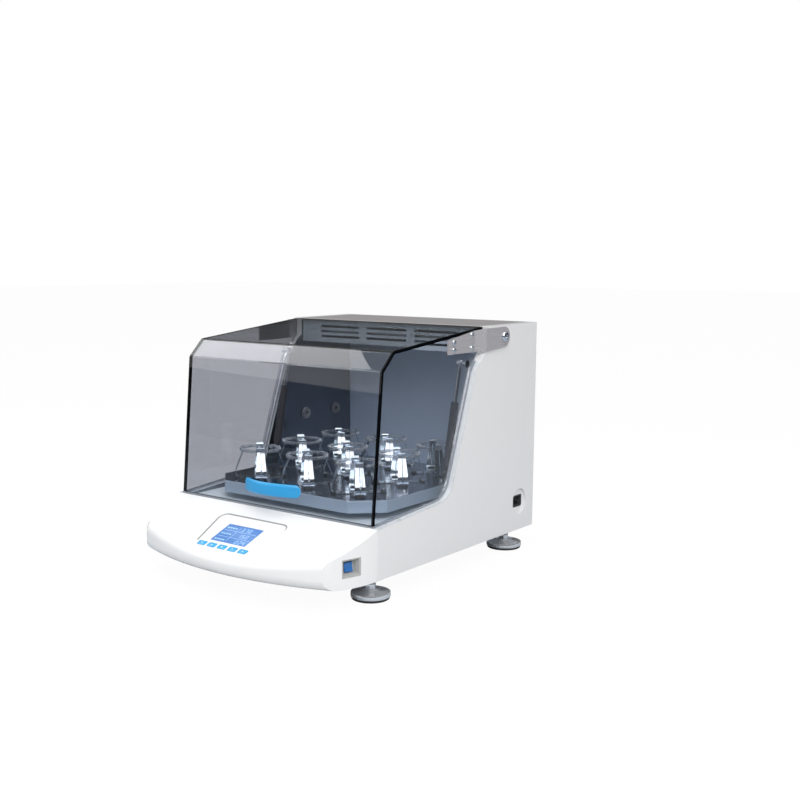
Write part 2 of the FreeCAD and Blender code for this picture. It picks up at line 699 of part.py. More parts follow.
def control_panel():
    """Film, display, circuit board and keys on the sloping deck."""
    film = new_body("control_overlay", turn=DECK)
    drawing = sketch(film, "XY")
    points = [(S.panel_shift - S.panel_foot_half, -S.panel_foot),
              (S.panel_shift + S.panel_foot_half, -S.panel_foot),
              (S.panel_shift + S.panel_head_half, -S.panel_head),
              (S.panel_shift - S.panel_head_half, -S.panel_head)]
    outline(drawing, points)
    pad(film, drawing, S.panel_film)
    middle = S.panel_film / 2
    fillet(film, S.panel_round, [(x, y, middle) for x, y in points[2:]])
    fillet(film, S.panel_round / 3, [(x, y, middle) for x, y in points[:2]])
    window = sketch(film, "XY")
    rectangle(window, S.panel_shift - S.screen_half, -S.screen_head - S.screen_deep,
              S.panel_shift + S.screen_half, -S.screen_head)
    pocket(film, window)
    for centre in key_centres():
        hole = sketch(film, "XY")
        half = S.key_wide / 2 + S.key_gap
        deep = S.key_deep / 2 + S.key_gap
        rounded(hole, centre - half, -S.key_row - deep, centre + half, -S.key_row + deep, S.key_round)
        pocket(film, hole)
    keep("control_overlay", film)

    screen = new_body("display_module", turn=DECK)
    frame = sketch(screen, "XY", -(S.nose_wall + S.screen_body))
    half = S.screen_half + S.screen_frame
    rectangle(frame, S.panel_shift - half, -S.screen_head - S.screen_deep - S.screen_foot,
              S.panel_shift + half, -S.screen_head + S.screen_frame)
    pad(screen, frame, S.screen_body - S.key_gap)
    glass = sketch(screen, "XY", -(S.nose_wall + S.key_gap))
    gap = S.key_gap
    rectangle(glass, S.panel_shift - S.screen_half + gap, -S.screen_head - S.screen_deep + gap,
              S.panel_shift + S.screen_half - gap, -S.screen_head - gap)
    pad(screen, glass, S.nose_wall + S.key_gap + S.panel_film / 2)
    keep("display_module", screen)

    board = new_body("control_board", turn=DECK)
    drawing = sketch(board, "XY", -S.board_drop)
    half = S.panel_head_half - S.board_inset
    rectangle(drawing, S.panel_shift - half, -S.panel_foot, S.panel_shift + half,
              -S.panel_head - S.post_radius)
    pad(board, drawing, S.board_sheet)
    for centre in key_centres():
        switch = sketch(board, "XY", -S.board_drop)
        rectangle(switch, centre - S.pad_half, -S.key_row - S.pad_half,
                  centre + S.pad_half, -S.key_row + S.pad_half)
        pad(board, switch, S.board_drop - S.nose_wall - S.key_travel * 3)
    keep("control_board", board)

    for number, centre in enumerate(key_centres(), start=1):
        key = new_body("key_%d" % number, turn=DECK)
        cap = sketch(key, "XY", -(S.nose_wall + S.key_travel))
        rounded(cap, centre - S.key_wide / 2, -S.key_row - S.key_deep / 2,
                centre + S.key_wide / 2, -S.key_row + S.key_deep / 2, S.key_round)
        pad(key, cap, S.nose_wall + S.key_travel + S.panel_film + S.key_proud)
        keep("key_%d" % number, key)


def power_switch():
    """Tapered cup let into the flank, and the rocker that turns in it."""
    spot = switch_spot()
    turn = ((0, 0, 1), -S.switch_turn)
    gap = S.key_gap
    cup = new_body("switch_bezel", *spot, turn=turn)
    block = sketch(cup, "YZ", -S.switch_deep - S.cup_wall * 2)
    half_wide, half_high = S.switch_pocket_wide / 2, S.switch_pocket_high / 2
    rectangle(block, -half_wide + gap, -half_high + gap, half_wide - gap, half_high - gap)
    pad(cup, block, S.switch_deep + S.cup_wall)
    hollow = sketch(cup, "YZ", ZERO)
    half_wide, half_high = half_wide - S.cup_wall, half_high - S.cup_wall
    rectangle(hollow, -half_wide, -half_high, half_wide, half_high)
    mouth = pocket(cup, hollow, S.switch_deep, back=True)
    bind(mouth, "TaperAngle", -S.cup_draft)
    well = sketch(cup, "YZ", ZERO)
    half_wide, half_high = S.rocker_wide / 2 + gap, S.rocker_high / 2 + gap * 3
    rectangle(well, -half_wide, -half_high, half_wide, half_high)
    pocket(cup, well, back=True)
    keep("switch_bezel", cup)
    rocker = new_body("power_rocker", *spot, turn=turn)
    side = sketch(rocker, "XZ", -S.rocker_wide / 2)
    front = -S.switch_deep + S.rocker_sink
    high = S.rocker_high / 2
    tip = S.rocker_sink / 3
    outline(side, [(front - S.rocker_body, -high / 2), (front - tip * 2, -high), (front + tip, -high),
                   (front - tip * 1.5, ZERO), (front - tip, high), (front - tip * 4, high),
                   (front - S.rocker_body, high / 2)])
    pad(rocker, side, S.rocker_wide)
    keep("power_rocker", rocker)


def base_and_back():
    """Base pan with foot bosses, back panel and top cover between the side trays."""
    pan = new_body("base_pan")
    drawing = sketch(pan, "XY", -S.case_drop)
    rectangle(drawing, -INNER, ZERO, INNER, S.case_back - S.skin)
    pad(pan, drawing, S.skin)
    for x in (-S.foot_side, S.foot_side):
        for y in (S.foot_front, S.foot_rear):
            boss = sketch(pan, "XY", -S.case_drop)
            reach = INNER - S.foot_side
            rectangle(boss, x - reach, y - S.foot_boss, x + reach, y + S.foot_boss)
            pad(pan, boss, S.foot_boss_high)
            hole = sketch(pan, "XY", -S.case_drop)
            circle(hole, x, y, S.foot_stem + S.pin_fit)
            pocket(pan, hole, S.foot_boss_high * 2)
    for number in range(6):
        slot = sketch(pan, "XY", -S.case_drop)
        y = S.supply_back - S.supply_deep / 2 + S.vent_high + S.vent_pitch * number
        rounded(slot, ZERO, y, S.vent_long, y + S.vent_high, S.vent_round)
        pocket(pan, slot, S.skin * 2)
    keep("base_pan", pan)

    back = new_body("back_panel")
    drawing = sketch(back, "XZ", S.case_back - S.skin)
    rectangle(drawing, -INNER, -S.case_drop, INNER, S.case_top)
    pad(back, drawing, S.skin)
    for column in (-1, 0, 1):
        for number in range(4):
            slot = sketch(back, "XZ", S.case_back - S.skin)
            x = S.vent_column * column - S.vent_long / 2
            z = S.vent_pitch * number - S.vent_low
            rounded(slot, x, z, x + S.vent_long, z + S.vent_high, S.vent_round)
            pocket(back, slot, S.skin)
    keep("back_panel", back)

    top = new_body("top_cover")
    drawing = sketch(top, "YZ")
    strip(drawing, [(S.case_back - S.skin, S.case_top), (S.head_end, S.case_top),
                    (S.head_end, S.case_top - S.top_lip)], 0, S.skin)
    pad(top, drawing, INNER * 2, both=True)
    fillet(top, S.skin, [(ZERO, S.head_end, S.case_top)])
    keep("top_cover", top)


def chamber():
    """Stainless tub, air shelf, grille, trims and the lid's gasket."""
    liner = new_body("chamber_liner")
    drawing = sketch(liner, "YZ")
    start = Size(0.5)
    under = [(start, FLOOR_UNDER), (S.liner_back, FLOOR_UNDER), (S.liner_back, S.case_top - S.skin)]
    front = [(start, -S.sill_dip)] + SILL[1:-1]
    outline(drawing, under + [(S.head_end, S.case_top - S.skin)] + list(reversed(front)))
    pad(liner, drawing, INNER * 2, both=True)
    fillet(liner, S.sill_round, [(ZERO, S.sill_end, S.sill_rise)])
    inside = sketch(liner, "YZ")
    rectangle(inside, S.sill_rail, -S.chamber_drop, S.liner_back - S.liner_sheet, S.case_top * 2)
    pocket(liner, inside, (INNER - S.liner_sheet) * 2, both=True)
    over_rail = sketch(liner, "YZ")
    rectangle(over_rail, -S.sill_rail, -S.sill_dip, S.sill_rail, S.case_top)
    pocket(liner, over_rail, S.case_half * 2, both=True)
    behind_lip = sketch(liner, "YZ")
    rectangle(behind_lip, S.head_end - S.skin, S.case_top - S.top_lip - S.sheet_gap,
              S.head_end + S.skin + S.sheet_gap, S.case_top)
    pocket(liner, behind_lip, S.case_half * 2, both=True)
    for x, y, shaft in [(ZERO, AXIS_Y, S.shaft_radius)] + [
            (x, y, S.idler_shaft) for x, y in idler_spots()]:
        radius = shaft + S.chamber_drop
        hole = sketch(liner, "XY", FLOOR_UNDER)
        circle(hole, x, y, radius)
        pocket(liner, hole, S.liner_sheet)
    keep("chamber_liner", liner)

    inner_wall = INNER - S.liner_sheet - S.sheet_gap
    shelf = new_body("duct_shelf")
    drawing = sketch(shelf, "YZ")
    rear = S.liner_back - S.liner_sheet - S.sheet_gap
    strip(drawing, [(S.shelf_front, S.shelf_rise - S.liner_sheet), (rear, S.shelf_rise - S.liner_sheet),
                    (rear, S.shelf_rise + S.shelf_flange)], 0, S.liner_sheet)
    pad(shelf, drawing, inner_wall * 2, both=True)
    hole = sketch(shelf, "XY", S.shelf_rise - S.liner_sheet)
    circle(hole, ZERO, S.fan_back, S.fan_radius * 0.8)
    pocket(shelf, hole, S.liner_sheet)
    keep("duct_shelf", shelf)

    grille = new_body("grille_panel")
    face = S.shelf_front - S.grille_sheet - S.sheet_gap
    drawing = sketch(grille, "XZ", face)
    rectangle(drawing, -inner_wall, S.shelf_rise - S.liner_sheet, inner_wall, S.case_top - S.skin)
    pad(grille, drawing, S.grille_sheet)
    for column in (-1, 0, 1):
        for number in range(3):
            slot = sketch(grille, "XZ", face)
            x = S.slot_group_pitch * column - S.slot_wide / 2
            z = S.slot_low + S.slot_pitch * number - S.slot_high / 2
            rounded(slot, x, z, x + S.slot_wide, z + S.slot_high, S.slot_high / 2 - 0.1)
            pocket(grille, slot, S.grille_sheet)
    keep("grille_panel", grille)

    brow = ((S.slope_end + S.brow_end) / 2, (S.slope_rise + S.brow_rise) / 2)
    slope = (S.sill_rise + S.sill_dip) / S.sill_end
    edge = [(S.trim_start, S.trim_start * slope - S.sill_dip)] + SILL[1:3] + [brow]
    trim = new_body("edge_trim_right")
    drawing = sketch(trim, "YZ", INNER)
    strip(drawing, edge, 0, S.trim_sheet)
    pad(trim, drawing, S.wall_depth)
    middle = INNER + S.wall_depth / 2
    round_bend(trim, S.sill_round, middle, S.trim_sheet)
    group("edge_trims", [trim, mirror("edge_trim_left", trim)])

    gasket = new_body("lid_gasket")
    drawing = sketch(gasket, "YZ", INNER + 1)
    strip(drawing, edge, S.trim_sheet, S.trim_sheet + S.gasket_thick)
    pad(gasket, drawing, S.gasket_wide)
    middle = INNER + 1 + S.gasket_wide / 2
    round_bend(gasket, S.sill_round - S.trim_sheet, middle, S.gasket_thick)
    bar = new_body("sill_gasket")
    drawing = sketch(bar, "YZ")
    rectangle(drawing, S.sheet_gap, -S.sill_dip, S.sill_rail - S.sheet_gap, S.lid_low - S.seal_drop)
    pad(bar, drawing, (INNER - S.sheet_gap) * 2, both=True)
    group("lid_gasket", [gasket, mirror("gasket_left", gasket), bar])


def bend_edge(body, middle, lowest):
    """Name of the straight edge across a strip at the bend above the sill."""
    DOC.recompute()
    aim = FreeCAD.Vector(middle.value, S.sill_end.value, S.sill_rise.value)
    found = []
    for number, edge in enumerate(body.Tip.Shape.Edges, start=1):
        straight = edge.BoundBox.XLength > edge.Length - 0.01
        away = (edge.CenterOfMass - aim).Length
        if straight and away < S.sill_rise.value:
            found.append((edge.CenterOfMass.z if lowest else away, "Edge%d" % number))
    return min(found)[1]


def round_bend(body, outer_radius, middle, thick):
    """Round both faces of a bent strip at the bend above the sill."""
    round_edges(body, [bend_edge(body, middle, True)], outer_radius)
    round_edges(body, [bend_edge(body, middle, False)], outer_radius - thick)


def lid_profile():
    return [(lid_foot(), S.lid_low), (S.lid_front_back, S.lid_front_rise),
            (S.lid_bevel_back, S.lid_bevel_rise), (S.lid_rear, S.lid_rear_rise)]


def lid_foot():
    """Y of the front sheet's outer face at the lid's lower edge."""
    return S.lid_front_back * S.lid_low / S.lid_front_rise


def lid():
    """Bent clear sheet, clear side panels, grip, arms and their fasteners."""
    profile = lid_profile()
    sheet = new_body("lid_sheet")
    drawing = sketch(sheet, "YZ")
    strip(drawing, list(reversed(profile)), 0, S.lid_sheet)
    pad(sheet, drawing, S.lid_half * 2, both=True)
    keep("lid_sheet", sheet)

    side = new_body("lid_side_right")
    drawing = sketch(side, "YZ", S.lid_half - S.lid_sheet)
    loop = [(profile[3], profile[2], S.lid_sheet), (profile[2], profile[1], S.lid_sheet),
            (profile[1], profile[0], S.lid_sheet)]
    loop += [(SILL[index], SILL[index + 1], S.rim_gap) for index in range(4)]
    loop += [((S.lid_side_rear, S.lid_low), (S.lid_side_rear, S.lid_rear_rise), ZERO)]
    offset_loop(drawing, loop)
    pad(side, drawing, S.lid_sheet)
    middle = S.lid_half - S.lid_sheet / 2
    fillet(side, S.sill_round - S.rim_gap, [(middle, S.sill_end, S.sill_rise)], S.sill_rise.value)
    group("lid_sides", [side, mirror("lid_side_left", side)])

    lean = Size(math.degrees(math.atan(S.lid_front_back.value / S.lid_front_rise.value)),
                "atan(%s / %s)" % (S.lid_front_back.text, S.lid_front_rise.text))
    grip = new_body("lid_handle", turn=((1, 0, 0), -lean))
    drawing = sketch(grip, "XY", S.grip_low)
    outer = (S.grip_half * S.grip_half + S.grip_reach * S.grip_reach) / (2 * S.grip_reach)
    inner = (S.grip_inner_half * S.grip_inner_half + S.grip_inner_reach * S.grip_inner_reach) / (
        2 * S.grip_inner_reach)
    outline(drawing, [(-S.grip_half, ZERO), (S.grip_half, ZERO), (S.grip_inner_half, ZERO),
                      (-S.grip_inner_half, ZERO)], {0: outer, 2: -inner})
    pad(grip, drawing, S.grip_high)
    rims = [(ZERO, -S.grip_reach, level) for level in (S.grip_low, S.grip_low + S.grip_high)]
    fillet(grip, S.grip_round, rims, S.grip_reach.value)
    keep("lid_handle", grip)
    return hinge_arms()


def hinge_arms():
    """Joggled steel arms, pivot pins, lid screws and strut studs."""
    inner_face = S.case_half + S.arm_gap
    band = new_body("arm_band")
    margin = S.arm_round
    drawing = sketch(band, "XY", S.arm_low - margin)
    line = [(S.lid_half, S.arm_front - margin), (S.lid_half, S.arm_joggle),
            (inner_face, S.arm_joggle_end), (inner_face, S.pivot_back + margin * 2)]
    strip(drawing, list(reversed(line)), 0, S.arm_sheet)
    pad(band, drawing, S.arm_low_drop + margin)
    form = new_body("arm_form")
    drawing = sketch(form, "YZ", S.lid_half - S.arm_sheet)
    low = S.pivot_rise - S.arm_round
    outline(drawing, [(S.arm_front, S.arm_low), (S.arm_joggle_end, S.arm_low), (S.pivot_back, low),
                      (S.pivot_back, S.pivot_rise + S.arm_round), (S.arm_joggle_end, S.arm_top),
                      (S.arm_front, S.arm_front_top)], {2: S.arm_round + 0.001})
    across = S.lid_inset + S.arm_sheet * 4
    pad(form, drawing, across)
    blank = join("Common", "arm_blank", band, form)
    drill = DOC.addObject("Part::Cylinder", "arm_drill")
    bind(drill, "Radius", S.pivot_pin + S.pin_fit)
    bind(drill, "Height", across)
    place(drill, S.lid_half - S.arm_sheet, S.pivot_back, S.pivot_rise, turn=((0, 1, 0), 90))
    arm = keep("hinge_arm_right", join("Cut", "arm_right", blank, drill))
    keep("hinge_arm_left", mirror("arm_left", arm))

    head = S.case_half + S.arm_gap + S.arm_sheet + S.sheet_gap
    pin = turned("hinge_pin", [
        (ZERO, INNER + S.skin), (S.pivot_pin, INNER + S.skin), (S.pivot_pin, head),
        (S.pivot_head, head), (S.pivot_head - 1.5, head + S.pivot_head_thick),
        (ZERO, head + S.pivot_head_thick)], ZERO, S.pivot_back, S.pivot_rise, turn=((0, 1, 0), 90))
    pins = [pin, mirror("hinge_pin_left", pin)]

    screw = turned("lid_screw", [
        (ZERO, ZERO), (S.screw_head, ZERO), (S.screw_head - 1, S.screw_head_thick),
        (ZERO, S.screw_head_thick)])
    face = S.lid_half + S.arm_sheet
    spots = [(S.arm_front + S.screw_front, S.arm_low + S.screw_head * 1.5),
             (S.arm_front + S.screw_front, S.arm_front_top - S.screw_head),
             (S.arm_front + S.screw_rear, S.arm_low + S.screw_head * 1.5),
             (S.arm_front + S.screw_rear, S.arm_top - S.screw_head * 2)]
    right = [(face, y, z, (0, 1, 0), 90) for y, z in spots]
    left = [(-face, y, z, (0, 1, 0), -90) for y, z in spots]
    screws = repeat("lid_screws", screw, right + left)

    wall = S.lid_half - S.lid_sheet
    reach = wall - S.strut_centre - S.eye_thick / 2 - S.sheet_gap
    stud = strut_stud("lid_stud", reach)
    studs = repeat("lid_studs", stud, [(wall, S.strut_high_back, S.strut_high_rise, (0, 1, 0), -90),
                                       (-wall, S.strut_high_back, S.strut_high_rise, (0, 1, 0), 90)])
    group("lid_fasteners", [screws, studs])
    return pins


def strut_stud(label, reach):
    """Flanged stud that stands off a wall."""
    flange = S.stud_radius * 2 / 3
    return turned(label, [(ZERO, ZERO), (S.eye_radius, ZERO), (S.eye_radius, flange),
                          (S.stud_radius, S.stud_radius), (S.stud_radius, reach), (ZERO, reach)])


def struts(pins):
    """Gas struts: tube on the chamber wall, rod that runs out of it."""
    angle = math.degrees(math.atan2(S.strut_run.value, S.strut_lift.value))
    lean = Size(angle, "atan(%s / %s)" % (S.strut_run.text, S.strut_lift.text))
    long = S.strut_long
    wall = INNER - S.liner_sheet
    stud = strut_stud("cabinet_stud", wall - S.strut_centre + S.eye_thick / 2)
    studs = repeat("strut_studs", stud, [(wall, S.strut_low_back, S.strut_low_rise, (0, 1, 0), -90),
                                         (-wall, S.strut_low_back, S.strut_low_rise, (0, 1, 0), 90)])
    group("cabinet_pivots", pins + [studs])
    half, slack, seat = S.eye_thick / 2, S.rod_radius + S.sheet_gap, S.rod_radius + S.pin_fit
    shoulder = S.eye_radius + S.tube_radius + S.skin / 2
    lead = S.tube_long - S.tube_radius
    for name, side in (("right", 1), ("left", -1)):
        spot = (S.strut_centre * side, S.strut_low_back, S.strut_low_rise)
        tube = turned("strut_tube_" + name, [
            (slack, shoulder), (S.tube_radius, shoulder), (S.tube_radius, S.tube_long),
            (seat, S.tube_long), (seat, lead), (slack, lead)], *spot, turn=((1, 0, 0), -lean))
        plug = sketch(tube, "XY", shoulder - S.eye_radius)
        circle(plug, 0, 0, S.tube_radius - S.liner_sheet)
        pad(tube, plug, S.eye_radius + S.liner_sheet * 2)
        eye = sketch(tube, "YZ", -half)
        circle(eye, 0, 0, S.eye_radius)
        pad(tube, eye, S.eye_thick)
        neck = sketch(tube, "XY", S.stud_radius / 2)
        rectangle(neck, -half, -S.stud_radius, half, S.stud_radius)
        pad(tube, neck, shoulder - S.eye_radius)
        bore = sketch(tube, "YZ", -S.eye_thick)
        circle(bore, 0, 0, S.stud_radius + S.pin_fit)
        pocket(tube, bore, S.eye_thick * 2)
        keep("strut_tube_" + name, tube)
        foot, top = shoulder + S.eye_radius, long - S.stud_radius
        rod = turned("strut_rod_" + name, [
            (ZERO, foot), (S.rod_radius, foot), (S.rod_radius, top), (ZERO, top)],
            *spot, turn=((1, 0, 0), -lean))
        eye = sketch(rod, "YZ", -half)
        circle(eye, 0, long, S.eye_radius)
        pad(rod, eye, S.eye_thick)
        keep("strut_rod_" + name, rod)


def idler_spots():
    return [(-S.idler_side, S.idler_front), (S.idler_side, S.idler_front), (ZERO, S.idler_rear)]


def drive():
    """Drive frame, bearings, crankshaft, idler cranks, pulleys, belt and motor."""
    plate_top = PAN_TOP + S.frame_plate
    frame = new_body("drive_frame")
    drawing = sketch(frame, "XY", PAN_TOP)
    edge, rear = S.frame_margin, S.frame_rear_half
    side = S.idler_side + edge
    outline(drawing, [(-side, S.idler_front - edge), (side, S.idler_front - edge),
                      (side, S.motor_back + edge), (rear, S.idler_rear + edge),
                      (-rear, S.idler_rear + edge), (-side, S.motor_back + edge)])
    pad(frame, drawing, S.frame_plate)
    bosses = [(ZERO, AXIS_Y, S.bearing_outer, S.bearing_wide, S.shaft_radius)]
    bosses += [(x, y, S.idler_outer, S.idler_wide, S.idler_shaft) for x, y in idler_spots()]
    for x, y, outer, wide, shaft in bosses:
        boss = sketch(frame, "XY", plate_top)
        circle(boss, x, y, outer + S.boss_wall)
        pad(frame, boss, S.boss_high - S.frame_plate)
        bore = sketch(frame, "XY", PAN_TOP)
        circle(bore, x, y, outer)
        pocket(frame, bore, S.boss_high)
    keep("drive_frame", frame)

    rings = []
    top = PAN_TOP + S.boss_high
    for x, y, outer, wide, shaft in bosses:
        for level in (top - wide, PAN_TOP + S.liner_sheet):
            bore, rim = shaft + S.pin_fit, outer - S.pin_fit
            ring = turned("ball_bearing", [(bore, ZERO), (rim, ZERO), (rim, wide), (bore, wide)], x, y, level)
            rings.append(ring)
    group("ball_bearings", rings)

    shaft_low = PAN_TOP + S.liner_sheet
    disc_low = S.crank_rise
    disc_top = disc_low + S.crank_thick
    pin_top = S.hub_top - S.sheet_gap
    for name, (x, y), shaft, disc, pin in crank_list():
        crank = turned(name, [(ZERO, shaft_low), (shaft, shaft_low), (shaft, disc_low),
                              (disc, disc_low), (disc, disc_top), (ZERO, disc_top)], x, y)
        stub = sketch(crank, "XY", disc_low)
        circle(stub, ZERO, -S.orbit, pin)
        pad(crank, stub, pin_top - disc_low)
        keep(name, crank)

    low = -S.pulley_low
    flange, step = S.pulley_flange, S.pulley_flange / 4
    high = low + S.belt_wide + step * 2
    bore, wheel = S.shaft_radius + S.pin_fit, S.pulley_radius
    rim = wheel + flange
    keep("drive_pulley", turned("drive_pulley", [
        (bore, low), (rim, low), (rim, low + step), (wheel, low + step), (wheel, high - step),
        (rim, high - step), (rim, high), (bore, high)], ZERO, AXIS_Y))
    small, shaft, foot = S.motor_pulley_radius, S.motor_shaft, plate_top + S.motor_high + S.sheet_gap
    rim = small + flange
    keep("motor_pulley", turned("motor_pulley", [
        (ZERO, foot), (shaft, foot), (shaft, low), (rim, low), (rim, low + step), (small, low + step),
        (small, high - step), (rim, high - step), (rim, high), (ZERO, high)], S.motor_side, S.motor_back))
    belt(low + step * 1.2)
    brim, round_top = plate_top + S.motor_high, S.motor_radius / 10
    keep("motor", turned("motor", [
        (ZERO, plate_top), (S.motor_radius, plate_top), (S.motor_radius, brim - round_top),
        (S.motor_radius - round_top, brim), (ZERO, brim)], S.motor_side, S.motor_back))

    weight = new_body("counterweight", ZERO, AXIS_Y, -S.weight_low)
    drawing = sketch(weight, "XY")
    reach = S.weight_radius
    neck = S.shaft_radius + S.hub_wall
    outline(drawing, [(-reach, ZERO), (-neck, ZERO), (-neck, -S.weight_neck), (neck, -S.weight_neck),
                      (neck, ZERO), (reach, ZERO)], {5: reach + 0.001})
    pad(weight, drawing, S.weight_thick)
    bore = sketch(weight, "XY")
    circle(bore, 0, 0, S.shaft_radius + S.pin_fit)
    pocket(weight, bore)
    keep("counterweight", weight)


def crank_list():
    names = ("idler_crank_left", "idler_crank_right", "idler_crank_rear")
    cranks = [("crankshaft", (ZERO, AXIS_Y), S.shaft_radius, S.crank_disc, S.pin_radius)]
    for name, spot in zip(names, idler_spots()):
        cranks.append((name, spot, S.idler_shaft, S.idler_pin + S.orbit + S.crank_rim,
                       S.idler_pin))
    return cranks


def belt(low):
    """Flat belt round both pulleys, held clear of their rims."""
    loop = new_body("drive_belt", ZERO, AXIS_Y, low)
    run_x = S.motor_side
    run_y = S.motor_back - AXIS_Y
    for extra, cut in ((S.belt_gap + S.belt_thick, False), (S.belt_gap, True)):
        drawing = sketch(loop, "XY")
        belt_outline(drawing, S.pulley_radius + extra, (run_x, run_y), S.motor_pulley_radius + extra)
        if cut:
            pocket(loop, drawing, S.belt_wide)
        else:
            pad(loop, drawing, S.belt_wide - 0.2)
    keep("drive_belt", loop)


def belt_outline(drawing, first, centre, second):
    """Two arcs joined by their common outer tangents."""
    x, y = centre[0].value, centre[1].value
    apart = math.hypot(x, y)
    course = math.atan2(y, x)
    lean = math.acos((first.value - second.value) / apart)
    spots = []
    for origin, radius in (((0, 0), first.value), ((x, y), second.value)):
        for side in (lean, -lean):
            spots.append(FreeCAD.Vector(origin[0] + radius * math.cos(course + side),
                                        origin[1] + radius * math.sin(course + side), 0))
    axis = FreeCAD.Vector(0, 0, 1)
    big = Part.ArcOfCircle(Part.Circle(FreeCAD.Vector(0, 0, 0), axis, first.value),
                           course + lean, course - lean + 2 * math.pi)
    little = Part.ArcOfCircle(Part.Circle(FreeCAD.Vector(x, y, 0), axis, second.value),
                              course - lean, course + lean)
    one = drawing.addGeometry(big, False)
    low = drawing.addGeometry(Part.LineSegment(spots[1], spots[3]), False)
    two = drawing.addGeometry(little, False)
    high = drawing.addGeometry(Part.LineSegment(spots[2], spots[0]), False)
    rules = [(Sketcher.Constraint("Tangent", one, 2, low, 1), None),
             (Sketcher.Constraint("Tangent", low, 2, two, 1), None),
             (Sketcher.Constraint("Tangent", two, 2, high, 1), None),
             (Sketcher.Constraint("Tangent", high, 2, one, 1), None),
             (Sketcher.Constraint("Radius", one, first.value), first),
             (Sketcher.Constraint("Radius", two, second.value), second)]
    fix_point(drawing, one, 3, (ZERO, ZERO), rules)
    fix_point(drawing, two, 3, centre, rules)
    apply_rules(drawing, rules)


def platform():
    """Tray with turned-down edges on its carrier, and the flask clamps."""
    tray = new_body("platform_tray", ZERO, S.plate_back)
    half, deep, corner = S.plate_half, S.plate_deep / 2, S.plate_corner
    for extra, top, cut in ((ZERO, S.plate_top, False), (S.plate_sheet, S.plate_top - S.plate_sheet, True)):
        drawing = sketch(tray, "XY", S.plate_top - S.plate_edge)
        wide, long, cant = half - extra, deep - extra, corner - extra * 0.586
        outline(drawing, [(-wide + cant, -long), (wide - cant, -long), (wide, -long + cant),
                          (wide, long - cant), (wide - cant, long), (-wide + cant, long),
                          (-wide, long - cant), (-wide, -long + cant)])
        if cut:
            pocket(tray, drawing, S.plate_edge - S.plate_sheet)
        else:
            pad(tray, drawing, S.plate_edge)
    keep("platform_tray", tray)

    carrier = new_body("platform_carrier", ZERO, S.plate_back)
    drawing = sketch(carrier, "XY", S.carrier_low)
    arm, foot = S.crank_disc, S.hub_wall
    side = S.idler_side + arm
    front = S.idler_front - AXIS_Y
    rear = S.idler_rear - AXIS_Y
    end = arm * 1.5
    outline(drawing, [(-side, front - arm), (side, front - arm), (side, front + arm), (end, rear + arm),
                      (-end, rear + arm), (-side, front + arm)])
    pad(carrier, drawing, S.carrier_plate)
    top = S.plate_top - S.plate_sheet
    inset = foot * 1.3
    for x, y in [(-side + inset, front - arm + inset), (side - inset, front - arm + inset),
                 (-end + inset, rear + arm - inset), (end - inset, rear + arm - inset)]:
        post = sketch(carrier, "XY", S.carrier_low)
        circle(post, x, y, foot)
        pad(carrier, post, top - S.carrier_low)
    for name, (x, y), shaft, disc, pin in crank_list():
        hub = sketch(carrier, "XY", S.carrier_low)
        circle(hub, x, y - AXIS_Y, pin + S.hub_wall)
        pad(carrier, hub, S.hub_top - S.carrier_low)
        bore = sketch(carrier, "XY", S.carrier_low)
        circle(bore, x, y - AXIS_Y, pin + S.pin_fit)
        pocket(carrier, bore, S.hub_top - S.carrier_low)
    keep("platform_carrier", carrier)

    high = S.plate_screw_thick
    screw = turned("platform_screw", [
        (ZERO, ZERO), (S.plate_screw, ZERO), (S.plate_screw * 0.8, high), (ZERO, high)])
    reach = S.plate_half - S.plate_screw_inset
    long = S.clamp_pitch / 2
    screws = repeat("platform_screws", screw, [(x, S.plate_back + y, S.plate_top)
                                               for x in (-reach, reach) for y in (-long, long)])
    keep("platform_screws", screws)
    clamps()


def clamps():
    """Nine flask clamps: four sprung fingers on a round foot, and a spring ring each."""
    clamp = new_body("clamp_master")
    drawing = sketch(clamp, "XZ")
    sheet = S.clamp_sheet
    outer = [(S.clamp_sole, ZERO), (S.clamp_heel, S.clamp_heel_rise), (S.clamp_shin, S.clamp_shin_rise),
             (S.clamp_neck, S.clamp_neck_rise), (S.clamp_throat, S.clamp_throat_rise),
             (S.clamp_lip, S.clamp_lip_rise)]
    strip(drawing, outer, 0, sheet)
    revolve(clamp, drawing)
    gap = sketch(clamp, "XY", -sheet)
    wide = S.clamp_half_wide
    far = S.clamp_heel * 1.4
    outline(gap, [(wide, wide), (far, wide), (far, far), (wide, far)])
    cutter = pocket(clamp, gap, S.clamp_lip_rise * 1.5)
    fan = clamp.newObject("PartDesign::PolarPattern", "Fingers")
    fan.Originals = [cutter]
    fan.Axis = (gap, ["N_Axis"])
    fan.Occurrences = FINGERS
    fan.Angle = 360
    clamp.Tip = fan
    foot = sketch(clamp, "XY")
    circle(foot, 0, 0, S.clamp_disc)
    pad(clamp, foot, sheet)
    rows = (("front", -1), ("middle", 0), ("rear", 1))
    for name, row in rows:
        label = "flask_clamps_" + name
        keep(label, repeat(label, clamp, [
            (S.clamp_pitch * column, S.plate_back + S.clamp_pitch * row, S.plate_top, (0, 0, 1), 45)
            for column in (-1, 0, 1)]))
    ring = new_body("ring_master")
    drawing = sketch(ring, "XZ")
    wire = S.ring_wire
    outline(drawing, [(S.ring_centre - wire, -wire / 2), (S.ring_centre - wire / 2, -wire),
                      (S.ring_centre + wire / 2, -wire), (S.ring_centre + wire, -wire / 2),
                      (S.ring_centre + wire, wire / 2), (S.ring_centre + wire / 2, wire),
                      (S.ring_centre - wire / 2, wire), (S.ring_centre - wire, wire / 2)])
    revolve(ring, drawing)
    keep("clamp_springs", repeat("clamp_springs", ring, [
        (S.clamp_pitch * column, S.plate_back + S.clamp_pitch * row, S.ring_rise)
        for column in (-1, 0, 1) for row in (-1, 0, 1)]))


